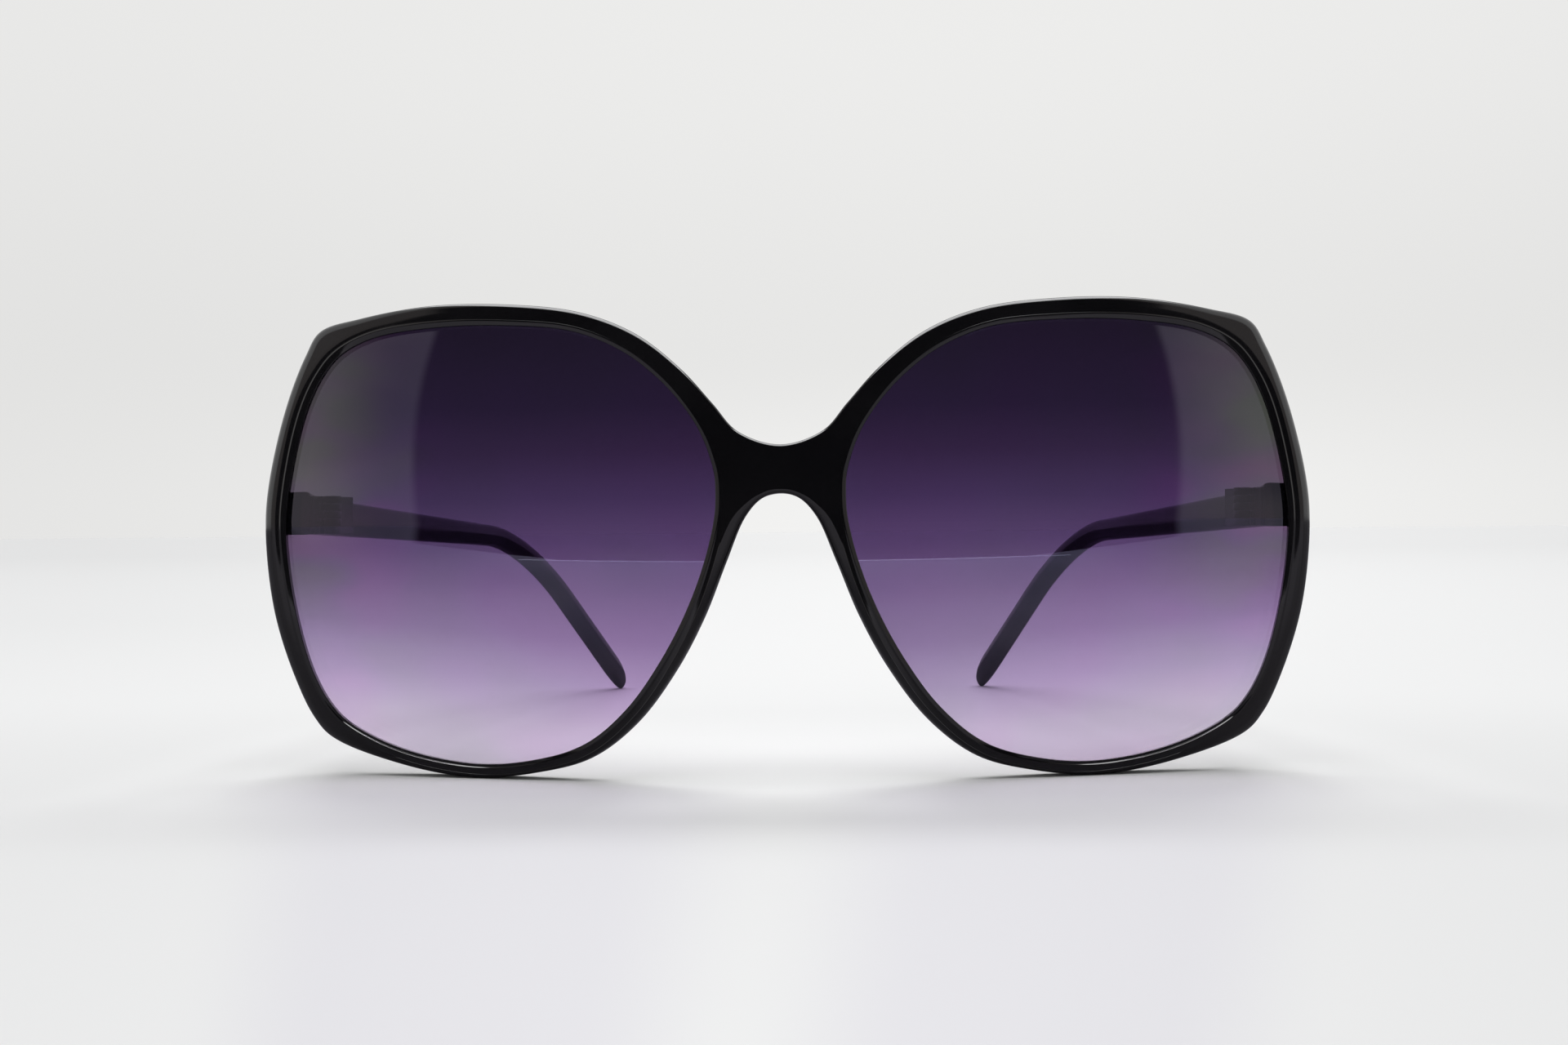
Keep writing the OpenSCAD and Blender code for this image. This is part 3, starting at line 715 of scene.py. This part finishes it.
# How many points the line has on each stretch, and the short steps that it is walked in
JOINT_STOPS, STRAIGHT_N, BEND_N, DROP_N, TIP_N, WALK = [0, 0.05, 0.14, 0.3], 22, 30, 6, 12, 0.25


def bend_share(s):
    return min(1.0, max(0.0, (s - STRAIGHT_L) / BEND_L))


def heading(s):
    return SPLAY + (DROP_TURN - SPLAY) * bend_share(s)


def pitch(s):
    return SLOPE + (DROP_PITCH - SLOPE) * bend_share(s)


def temple_line():
    """Points of the line, each with its distance from the joint."""
    stops = JOINT_STOPS + list(np.linspace(1.2, STRAIGHT_L, STRAIGHT_N))
    stops += [STRAIGHT_L + BEND_L * i / BEND_N for i in range(1, BEND_N)]
    stops += [STRAIGHT_L + BEND_L + (DROP_L - TIP_L) * i / DROP_N for i in range(DROP_N)]
    stops += [TEMPLE_L - TIP_L + TIP_L * sin(pi / 2 * i / TIP_N) for i in range(TIP_N + 1)]
    line, at, s = [], np.array([INNER_X + BLADE_T / 2, JOINT_Y, HINGE_Z]), 0.0
    for stop in stops:
        while s < stop - 1e-9:
            step = min(WALK, stop - s)
            a, b = heading(s + step / 2), pitch(s + step / 2)
            at = at + step * np.array([-cos(b) * sin(a), cos(b) * cos(a),
                                       -sin(b)])
            s += step
        line.append(at)
    return line, stops


line, stops = temple_line()
print(f"temple length {TEMPLE_L:.1f} mm, drop pitch {degrees(DROP_PITCH):.1f} degrees, end {line[-1]}")

# %% A tree that sweeps the blade
def new_tree(name, inputs):
    """A Geometry Nodes tree with its geometry sockets and named inputs."""
    tree = bpy.data.node_groups.new(name, "GeometryNodeTree")
    tree.interface.new_socket("Geometry", in_out="INPUT", socket_type="NodeSocketGeometry")
    for label, kind in inputs.items():
        tree.interface.new_socket(label, in_out="INPUT", socket_type="NodeSocket" + kind)
    tree.interface.new_socket("Geometry", in_out="OUTPUT", socket_type="NodeSocketGeometry")
    start = add_node(tree, "NodeGroupInput").node
    return tree, {s.name: Wire(tree, s, start) for s in start.outputs if s.name}


def end_tree(tree, shape, material):
    """Every tree ends in real geometry with its material."""
    real = add_node(tree, "GeometryNodeRealizeInstances", Geometry=shape)
    dressed = add_node(tree, "GeometryNodeSetMaterial", Geometry=real, Material=material)
    add_node(tree, "NodeGroupOutput", _0=dressed)


def grown(name, start_mesh, tree, values):
    """Runs a tree on a mesh and returns the plain result."""
    holder = placed(name, start_mesh)
    modifier = holder.modifiers.new("grow", "NODES")
    modifier.node_group = tree
    sockets = {s.name: s.identifier for s in tree.interface.items_tree if s.in_out == "INPUT"}
    for label, value in values.items():
        modifier[sockets[label]] = value
    mesh = finished(holder)
    mesh.name = name
    return mesh


def between(a, b, share):
    return a + (b - a) * share


BLADE_SIDES, SQUARE_RUN = 44, 6.0


def blade_tree():
    tree, at = new_tree("swept_blade", {
        "Joint height": "Float", "End height": "Float", "Tip height": "Float",
        "Joint thickness": "Float", "End thickness": "Float", "Edge round": "Float",
        "Material": "Material"})
    spine = add_node(tree, "GeometryNodeMeshToCurve", Mesh=at["Geometry"])
    run = add_node(tree, "GeometryNodeInputNamedAttribute", {"data_type": "FLOAT"}, Name="run")
    held = add_node(tree, "GeometryNodeCaptureAttribute",
                    {"capture_items": [("VECTOR", "Centre"), ("FLOAT", "Run")]}, out="Geometry",
                    Geometry=spine, Centre=add_node(tree, "GeometryNodeInputPosition"), Run=run)
    circle = add_node(tree, "GeometryNodeCurvePrimitiveCircle", Resolution=BLADE_SIDES, Radius=1.0)
    number = add_node(tree, "GeometryNodeInputIndex")
    ring = add_node(tree, "GeometryNodeCaptureAttribute", {"capture_items": [("FLOAT", "Around")]},
                    out="Geometry", Geometry=circle, Around=(number + 0.5) * (2 * pi / BLADE_SIDES))
    swept = add_node(tree, "GeometryNodeCurveToMesh", Curve=held, Profile_Curve=ring, Fill_Caps=True)
    centre, s, q = held.output("Centre"), held.output("Run"), ring.output("Around")

    bent = ((s - STRAIGHT_L) / BEND_L).clipped()
    a, b = between(SPLAY, DROP_TURN, bent), between(SLOPE, DROP_PITCH, bent)
    sin_a, cos_a = a.math("SINE", a), a.math("COSINE", a)
    sin_b, cos_b = b.math("SINE", b), b.math("COSINE", b)
    on_straight = (s / STRAIGHT_L).clipped()
    on_drop = ((s - STRAIGHT_L) / (TEMPLE_L - TIP_L - STRAIGHT_L)).clipped()
    high = between(at["Joint height"], at["End height"], on_straight)
    high = high + (at["Tip height"] - at["End height"]) * on_drop
    thick = between(at["Joint thickness"], at["End thickness"], (s / (THIN * TEMPLE_L)).clipped())
    past = ((s - (TEMPLE_L - TIP_L)) / TIP_L).clipped()
    close = between(TIP_END, 1, (1 - past * past).clipped() ** 0.5)
    power = 2 / between(SQUARE_POWER, ROUND_POWER, (s / (ROUND * TEMPLE_L)).clipped())
    short = (at["Edge round"] - s).clipped(0.0, 1.0)
    drawn_in = at["Edge round"] - (at["Edge round"] ** 2 - short * short).clipped() ** 0.5
    half_h, half_t = high * close / 2 - drawn_in, thick * close / 2 - drawn_in

    def spread(trig):
        value = q.math(trig, q)
        return value.math("SIGN", value) * abs(value) ** power

    x, up = half_t * spread("COSINE"), half_h * spread("SINE") - (high / 2 - half_h - drawn_in) * TIP_DROP
    px, py, pz = axes(centre)
    px = px + x * cos_a - up * sin_b * sin_a
    py = py + x * sin_a + up * sin_b * cos_a
    pz = pz + up * cos_b
    # The first rings slide along the blade, so that they stand square to the joint
    slide = (JOINT_Y + JOINT_GAP + s - py) * (1 - smooth_step(s, 0.0, SQUARE_RUN))
    place = add_node(tree, "ShaderNodeCombineXYZ", X=px - slide * sin_a / cos_a, Y=py + slide,
                     Z=pz - slide * sin_b / (cos_b * cos_a))
    moved = add_node(tree, "GeometryNodeSetPosition", Geometry=swept, Position=place)
    end_tree(tree, moved, at["Material"])
    return tree


spine = raw_mesh("temple_line", line, [], [(i, i + 1) for i in range(len(line) - 1)])
spine.attributes.new("run", "FLOAT", "POINT").data.foreach_set("value", stops)
blade = grown("temple_blade_left", spine, blade_tree(), {
    "Joint height": BLADE_H, "End height": BLADE_END_H, "Tip height": TIP_H,
    "Joint thickness": BLADE_T, "End thickness": BLADE_END_T, "Edge round": 0.3,
    "Material": plastic})
print("blade:", len(blade.vertices), "points")

# %% Close the blade and place both temples
def settled(mesh):
    """Merges doubles and turns the faces outwards."""
    build = bmesh.new()
    build.from_mesh(mesh)
    bmesh.ops.remove_doubles(build, verts=build.verts, dist=WELD)
    return face_out(build, mesh)


pair("temple_blade", to_frame(settled(blade)), plastic, ARMS, "temple")

# %% [markdown]
# ## The hinges
# Each hinge has five barrels on one screw: three belong to the front's leaf and two to the temple's. One
# barrel with its arm is drawn by turning a profile, and a tree repeats it up the pin, each leaf's barrels
# in the other's gaps. The plates that the arms grow from lie in the plastic with slightly rounded edges.

# %% One barrel, a plate and how they repeat
KNUCKLE_GAP, ARM_T, LEAF_T, LEAF_L, LEAF_PROUD, LEAF_MARGIN = 0.06, 0.9, 0.8, 10.5, 0.5, 0.25
SCREW_D, SCREW_GAP, HEAD_D, HEAD_H, HEAD_SUNK = 1.3, 0.04, 2.1, 0.55, 0.5
SCREW_SLOT_W, SCREW_SLOT_DEPTH, SCREW_END = 0.36, 0.25, 0.15
KNUCKLE_H = (HINGE_H - 4 * KNUCKLE_GAP) / 5
PITCH = KNUCKLE_H + KNUCKLE_GAP
TURNS, SCREW_TURNS = 40, 48
# How far a barrel's rounds and its bore's edge reach, and how soft the arms and the plates are
ROUND_R, ROUND_MID, BORE_EDGE, ARM_SOFT, PLATE_SOFT = 0.11, 0.03, 0.04, 0.06, 0.12
ARM_SET, ARM_SLIM, ARM_LOW = 0.3, 0.02, 0.03


def turned(profile, turns=TURNS):
    """A closed profile of (radius, height) points, turned about Z."""
    points = [(r * cos(2 * pi * i / turns), r * sin(2 * pi * i / turns), z)
              for i in range(turns) for r, z in profile]
    return points, ring_faces(turns, len(profile), True)


def barrel_profile(bore):
    """A barrel's wall: outer face with small rounds, and the bore."""
    r, h, e, m, b = BARREL_D / 2, KNUCKLE_H, ROUND_R, ROUND_MID, BORE_EDGE
    return [(bore, b), (bore + b, 0), (r - e, 0), (r - m, m), (r, e), (r, h - e),
            (r - m, h - m), (r - e, h), (bore + b, h), (bore, h - b)]


def soft_box(low, high, edge):
    """A box with rounded edges, as points and faces."""
    build = bmesh.new()
    bmesh.ops.create_cube(build, size=1)
    low, high = np.array(low), np.array(high)
    for v in build.verts:
        v.co = (low + high) / 2 + np.array(v.co) * (high - low)
    bmesh.ops.bevel(build, geom=build.edges, offset=edge, segments=3, profile=0.5, affect="EDGES")
    build.verts.index_update()
    made = [tuple(v.co) for v in build.verts], [tuple(v.index for v in f.verts) for f in build.faces]
    build.free()
    return made


def joined(name, shapes, place=None):
    """Several (points, faces) shapes as one mesh, moved by a matrix."""
    points, faces = [], []
    for more_points, more_faces in shapes:
        faces += [tuple(len(points) + i for i in f) for f in more_faces]
        points += list(more_points)
    mesh = raw_mesh(name, points, faces)
    if place is not None:
        mesh.transform(place)
    return settled(mesh)


def knuckle(name, arm_side):
    arm_y = BARREL_D / 2 - ARM_T if arm_side > 0 else -BARREL_D / 2
    arm = soft_box((SCREW_D / 2 + ARM_SET, arm_y + ARM_SLIM, ARM_LOW),
                   (FACE_X - LEAF_PROUD + LEAF_T / 2, arm_y + ARM_T, KNUCKLE_H - ARM_LOW), ARM_SOFT)
    return joined(name, [turned(barrel_profile(SCREW_D / 2 + SCREW_GAP)), arm])


def knuckle_row_tree():
    """Repeats what it is given up the pin."""
    tree, at = new_tree("knuckle_row", {"Count": "Int", "First": "Float", "Step": "Float",
                                        "Material": "Material"})
    low = add_node(tree, "ShaderNodeCombineXYZ", Z=at["First"])
    step = add_node(tree, "ShaderNodeCombineXYZ", Z=at["Step"])
    spots = add_node(tree, "GeometryNodeMeshLine", Count=at["Count"], Start_Location=low, Offset=step)
    row = add_node(tree, "GeometryNodeInstanceOnPoints", Points=spots, Instance=at["Geometry"])
    end_tree(tree, row, at["Material"])
    return tree


row_tree = knuckle_row_tree()


def knuckle_row(name, first, count, arm_side):
    return grown(name, knuckle("knuckle", arm_side), row_tree, {
        "Count": count, "First": -HINGE_H / 2 + first * PITCH, "Step": 2 * PITCH,
        "Material": hinge_metal})


# %% Leaves of the left hinge, and their mirror images
FRONT_LEAF_L = JOINT_Y - curve_y(INNER_X, HINGE_Z, RIM_T + PIECE_CLEAR) - 2 * LEAF_MARGIN
AT_HINGE = Matrix.Translation((HINGE_X, JOINT_Y, HINGE_Z))
ALONG_BLADE = (Matrix.Translation((FACE_X, 0, 0)) @ Matrix.Rotation(SPLAY, 4, "Z")
               @ Matrix.Translation((-FACE_X, 0, 0)))


def plate(start, length):
    low = (FACE_X - LEAF_PROUD, start, -HINGE_H / 2)
    return soft_box(low, (low[0] + LEAF_T, start + length, HINGE_H / 2), PLATE_SOFT)


def as_shape(mesh):
    return [tuple(v.co) for v in mesh.vertices], [tuple(f.vertices) for f in mesh.polygons]


def leaf_mesh(name, row, start, length, turn):
    flat = joined("plate", [plate(start, length)], turn)
    return joined(name, [as_shape(row), as_shape(flat)], AT_HINGE)


front_leaf = leaf_mesh("front_leaf", knuckle_row("front_knuckles", 0, 3, -1),
                       -FRONT_LEAF_L - LEAF_MARGIN, FRONT_LEAF_L, Matrix())
temple_leaf = leaf_mesh("temple_leaf", knuckle_row("temple_knuckles", 1, 2, 1),
                        LEAF_MARGIN, LEAF_L, ALONG_BLADE)
leaves = [("front", to_frame(front_leaf), FRONT), ("temple", to_frame(temple_leaf), ARMS)]
for side in FRONT:
    for label, leaf, bodies in leaves:
        pair(f"{label}_leaf", leaf, hinge_metal, {side: bodies[side]},
             f"{label}_hinge_leaf", 50)

# %% [markdown]
# ## The hinge screws
# A hinge screw is about two millimetres across its low domed head, which has a slot. The screw is turned
# from a profile as the barrels are, and a thin block is cut out of its head.

# %% Screws with a slot
POINT_EDGE, SEAT_EDGE, SEAT_RISE, SLOT_TURN = 0.12, 0.03, 0.05, radians(35)
# The dome's corners: in from the head's edge, and down from its top
DOME = [(0, 0.16), (0.06, 0.07), (0.22, 0.02), (0.5, 0.003)]


def screw_mesh():
    seat = HINGE_H / 2 - HEAD_SUNK
    top, low, r, head = seat + HEAD_H, -HINGE_H / 2 + SCREW_END, SCREW_D / 2, HEAD_D / 2
    outline = [(0, low), (r - POINT_EDGE, low), (r, low + POINT_EDGE), (r, seat),
               (head - SEAT_EDGE, seat), (head, seat + SEAT_RISE)]
    outline += [(head - inward, top - down) for inward, down in DOME] + [(0, top)]
    points, faces = turned(outline, SCREW_TURNS)
    n = len(outline)
    faces = [f for i, f in enumerate(faces) if i % n != n - 1]
    mesh = joined("hinge_pin", [(points, faces)], AT_HINGE)
    cut = joined("slot_cutter", [soft_box(
        (-HEAD_D, -SCREW_SLOT_W / 2, top - SCREW_SLOT_DEPTH), (HEAD_D, SCREW_SLOT_W / 2, top + 1),
        SEAT_EDGE)], AT_HINGE @ Matrix.Rotation(SLOT_TURN, 4, "Z"))
    holder, cutter = placed("pin", mesh), placed("cutter", cut)
    carve = holder.modifiers.new("slot", "BOOLEAN")
    carve.object, carve.operation, carve.solver = cutter, "DIFFERENCE", "EXACT"
    made = finished(holder)
    bpy.data.objects.remove(cutter)
    return to_frame(made)


pair("hinge_pin", screw_mesh(), screw_metal, FRONT, "hinge_screw", 40)

# %% [markdown]
# ## Camera
# The photograph was taken level, from less than 4 cm above the table and about 23 cm in front of the
# bridge. A real camera is never quite straight: this one looks a degree and a half to one side and leans
# half a degree, so the script sets its three axes directly instead of aiming it.

# %% Set the camera
CAMERA_AT = (6.54 * MM, -304.68 * MM, 35.7 * MM)
YAW, ROLL, FOCAL = radians(1.5), radians(0.514), 39.83
data = bpy.data.cameras.new("camera")
data.lens, data.sensor_width, data.sensor_fit = FOCAL, 36.0, "HORIZONTAL"
data.clip_start, data.clip_end = 0.01, 50
camera = placed("camera", data)
across = np.array([cos(YAW), sin(YAW), 0])
ahead = np.array([-sin(YAW), cos(YAW), 0])
rise = np.array([0, 0, 1.0])
right = cos(ROLL) * across - sin(ROLL) * rise
above = sin(ROLL) * across + cos(ROLL) * rise
turn = Matrix([[*row] for row in np.array([right, above, -ahead]).T]).to_4x4()
camera.matrix_world = Matrix.Translation(CAMERA_AT) @ turn
bpy.context.scene.camera = camera
print("camera at", [round(v, 4) for v in camera.matrix_world.translation])

# %% [markdown]
# ## The light tent
# The glasses stand in a white tent, which lights them from all round, and the camera looks in through
# an opening. The tent is what gloss shows: pale nearly everywhere, and dark where the opening is, about
# 42 degrees to each side. So the world has three answers. A camera, straight or through a lens, gets the
# backdrop. A reflection gets the tent with its opening and a bright strip of lamps in its roof, which draws
# thin lines of light along the rims. All other light is plain and even.

# %% World
OPENING_SIDE, OPENING_LEAN, SOFT_SIDE = radians(41.7), radians(5.1), radians(0.7)
OPENING_TOP, TOP_SOFT = sin(radians(58)), 0.03
TENT_DIM, TENT_PALE, TENT_DARK = (0.46, 0.42, 0.41, 1), (1.10, 1.10, 1.10, 1), (0.006, 0.006, 0.008, 1)
STRIP_GLOW, PLAIN_LIGHT = (9.0, 9.0, 9.1, 1), (0.30, 0.30, 0.30, 1)
# Radians aside where the tent turns pale, and parts of a direction between which the strip fades out
PALE_TURN, STRIP_RISE, STRIP_SIDE, STRIP_BACK = (0.92, 1.30), (0.78, 0.86), (0.42, 0.52), (0.30, 0.38)
# The backdrop's level at the table, its steps upwards, and how it falls off to both sides
BACKDROP, BACKDROP_UP = 0.895, [(0.0, 0.10, -0.095), (0.09, 0.28, 0.045)]
SIDE_AT, SIDE_REACH, SIDE_FALL, SIDE_FALL_UP = 0.08, 0.6, 0.11, [(0.0, 0.1, -0.075)]


def ray_kinds(tree):
    """Masks: 1 for a look at the backdrop, and 1 for a look that a mirror has turned."""
    path = add_node(tree, "ShaderNodeLightPath", out="Is Camera Ray")
    glossy = path.output("Glossy Depth").clipped()
    clear = 1 - path.output("Diffuse Depth").clipped()
    through = path.output("Is Transmission Ray")
    looks = path.math("MAXIMUM", path, through * (1 - glossy) * clear)
    return looks, glossy * clear * path.math("MAXIMUM", through, path.output("Is Glossy Ray"))


def turn_aside(across, towards):
    """How far a direction is turned from straight ahead, to either side."""
    return abs(across.math("ARCTAN2", across, towards))


def opening_mask(turn, rise):
    """1 inside the tent's opening, from a direction's turn and its rise."""
    past = turn - rise * OPENING_LEAN
    return 1 - smooth_step(past, OPENING_SIDE - SOFT_SIDE, OPENING_SIDE + SOFT_SIDE)


def grey(tree, level, tint=(1.0, 0.998, 0.988, 1)):
    """A level as a faintly tinted colour."""
    return mix_colour(tree, 1.0, level, tint, "MULTIPLY")


def light_tent():
    world = bpy.data.worlds.new("tent")
    bpy.context.scene.world = world
    world.use_nodes = True
    tree = world.node_tree
    tree.nodes.clear()
    looks, in_mirror = ray_kinds(tree)
    x, y, z = axes(add_node(tree, "ShaderNodeTexCoord", out="Generated"))
    turn = turn_aside(x, 0 - y)
    dark = opening_mask(turn, z) * (1 - smooth_step(z, OPENING_TOP - TOP_SOFT, OPENING_TOP + TOP_SOFT))
    pale = mix_colour(tree, smooth_step(turn, *PALE_TURN), TENT_DIM, TENT_PALE)
    strip = smooth_step(z, *STRIP_RISE) * (1 - smooth_step(abs(x), *STRIP_SIDE))
    strip = strip * (1 - smooth_step(y, *STRIP_BACK))
    tent = mix_colour(tree, strip, mix_colour(tree, dark, pale, TENT_DARK), STRIP_GLOW)
    aside = smooth_step(abs(x / y - SIDE_AT), 0.0, SIDE_REACH)
    level = stepped(z, BACKDROP, BACKDROP_UP) - aside * stepped(z, SIDE_FALL, SIDE_FALL_UP)
    shown = mix_colour(tree, in_mirror, PLAIN_LIGHT, tent)
    shown = mix_colour(tree, looks, shown, grey(tree, level))
    glow = add_node(tree, "ShaderNodeBackground", Color=shown, Strength=1.0)
    add_node(tree, "ShaderNodeOutputWorld", Surface=glow)


light_tent()
print("world ready")

# %% [markdown]
# ## The lamps over the tent
# Most light falls through the tent's roof, wide and soft. A long strip of lamps behind the roof adds the
# shadow with a clear front edge that lies before the glasses. Sun lamps with wide discs stand in for
# both: one for the roof, and three side by side for the strip. They stay out of reflections, because the
# world already holds what gloss sees.

# %% Lamps
# Tilt to the back, turn to the side, width of the disc (degrees) and share of the light on the table
LAMPS = [(-5, 0, 60, 0.45), (32, -22, 16, 0.08), (32, 0, 16, 0.09), (32, 22, 16, 0.08)]
for i, (tilt, aside, disc, share) in enumerate(LAMPS):
    lamp_data = bpy.data.lights.new(f"tent_lamp_{i}", "SUN")
    lamp = placed(f"tent_lamp_{i}", lamp_data)
    lamp.rotation_euler = (-radians(tilt), radians(aside), 0)
    upright = cos(radians(tilt)) * cos(radians(aside))
    lamp_data.energy, lamp_data.angle = share * pi / upright, radians(disc)
    lamp.visible_glossy = False
print("lamps:", len(LAMPS), "share of the light", round(sum(row[3] for row in LAMPS), 2))

# %% [markdown]
# ## The table
# The tent's floor is a white sheet that ends about 25 mm behind the camera, with the dark room beyond it.
# It is a plain diffuse surface, so that it keeps the soft shadows of the rims and tips. Its colour also
# holds painted light just under the glasses' front, painted shade in front and aside, and two faint violet
# bands of painted shadow from the lenses. Only a reflection sees it greyer, with painted shade close in
# front of the glasses, its dark part and the glowing fold of painted light along its front edge.

# %% Floor
TABLE_FRONT, FRONT_SOFT, TABLE_SWEEP, TABLE_STRAIGHT = 0.330, 0.002, 0.65, 0.15
TABLE_HALF, CAMERA_BACK, FAR = 6.0, 0.305, 9.0
# The sheet's level, its painted steps of light backwards, its painted shade aside, and the painted light
# that it gains under the glasses
SHEET, SHEET_BACK, SHEET_SIDE, PAINTED_LIGHT_GAIN = 0.88, [(-0.08, 0.06, 0.06), (0.2, 2.0, -0.06)], 0.6, 0.12
GAIN_RISE, GAIN_FALL, GAIN_SIDE = (-0.11, -0.075), (-0.05, 0.03), (0.065, 0.105)
# What a reflection sees of the sheet: its level, which is painted shade close in front of the glasses, and
# the size of its two steps
SEEN, SEEN_STEP, SEEN_TINT = 0.26, 0.20, (1.0, 0.95, 1.06, 1)
BAND_RISE, BAND_FALL, BAND_FROM = (0.0, 0.1), (0.24, 0.34), (0.06, 0.08)
SHEET_TINT, LENS_SHADOW_TINT = (0.995, 0.998, 1.0, 1), (0.925, 0.918, 0.955, 1)


def sheet_level(x, y, slope):
    """How pale the sheet is: painted light makes it brightest under the glasses, and painted shade a little
    duller in front and aside.
    """
    back = smooth_step(y, -0.1, 0.4)
    aside = smooth_step(abs(slope - back * SIDE_AT), 0.0, SHEET_SIDE)
    # Painted light: lighter just under the glasses' front, where their shadow falls
    close = plateau(y, GAIN_RISE, GAIN_FALL) * (1 - smooth_step(abs(x), *GAIN_SIDE))
    return stepped(y, SHEET, SHEET_BACK) + close * PAINTED_LIGHT_GAIN - aside * (0.06 + back * 0.05)


def table_sheet():
    made, tree, place = new_material("white_sheet")
    _, in_mirror = ray_kinds(tree)
    x, y, _ = axes(place)
    side = (abs(x) - TABLE_STRAIGHT).clipped(0.0, FAR)
    ahead = 0 - y - side * TABLE_SWEEP
    dark = (smooth_step(ahead, TABLE_FRONT - FRONT_SOFT, TABLE_FRONT + FRONT_SOFT)
            * opening_mask(turn_aside(x, 0 - y), 0))
    near = 1 - smooth_step(side, 0.0, 0.2)
    # Painted shade: a reflection sees the sheet darker close in front of the glasses
    shown = stepped(ahead, SEEN, [(0.09, 0.17, SEEN_STEP), (0.2, 0.33, near * SEEN_STEP)])
    seen = mix_colour(tree, dark, grey(tree, shown, SEEN_TINT), TENT_DARK)
    # In front, two faint violet bands of painted shadow stand for the lenses' tinted shadows
    slope = x / (y + CAMERA_BACK).clipped(0.1, FAR)
    lens_shadow_bands = plateau(abs(slope), BAND_RISE, BAND_FALL) * smooth_step(0 - y, *BAND_FROM)
    pale = grey(tree, sheet_level(x, y, slope), mix_colour(tree, lens_shadow_bands, SHEET_TINT, LENS_SHADOW_TINT))
    return with_shader(made, Base_Color=mix_colour(tree, in_mirror, pale, seen), Roughness=0.9,
                       Specular_IOR_Level=0.0)


def staged(name, points, material):
    """A flat piece of the stage."""
    mesh = raw_mesh(name, points, [(0, 1, 2, 3)])
    mesh.materials.append(material)
    made = placed(name, mesh)
    return made


corners = [(TABLE_HALF * x, TABLE_HALF * y, 0) for x, y in ((-1, -1), (1, -1), (1, 1), (-1, 1))]
staged("table_sheet", corners, table_sheet())

# %% The bright fold
# Painted light: the fold is an emitting strip, seen only in reflections, that stands for the bright line
# along the sheet's front edge
FOLD_HALF, FOLD_H, FOLD_CLOTH = 0.19, 0.0006, (0.8, 0.8, 0.8, 1)
FOLD_GLOW, FOLD_TINT = 1.8, (1.0, 0.96, 1.0, 1)


def fold_glow():
    made = new_material("bright_fold")[0]
    return with_shader(made, Base_Color=FOLD_CLOTH, Emission_Color=FOLD_TINT, Emission_Strength=FOLD_GLOW)


fold = staged("table_fold", [(-FOLD_HALF, -TABLE_FRONT, 0), (FOLD_HALF, -TABLE_FRONT, 0),
                             (FOLD_HALF, -TABLE_FRONT, FOLD_H), (-FOLD_HALF, -TABLE_FRONT, FOLD_H)],
              fold_glow())
fold.visible_camera = fold.visible_diffuse = fold.visible_shadow = False
bpy.context.scene.view_settings.view_transform = "Standard"

# %% Finish
print("scene finished")
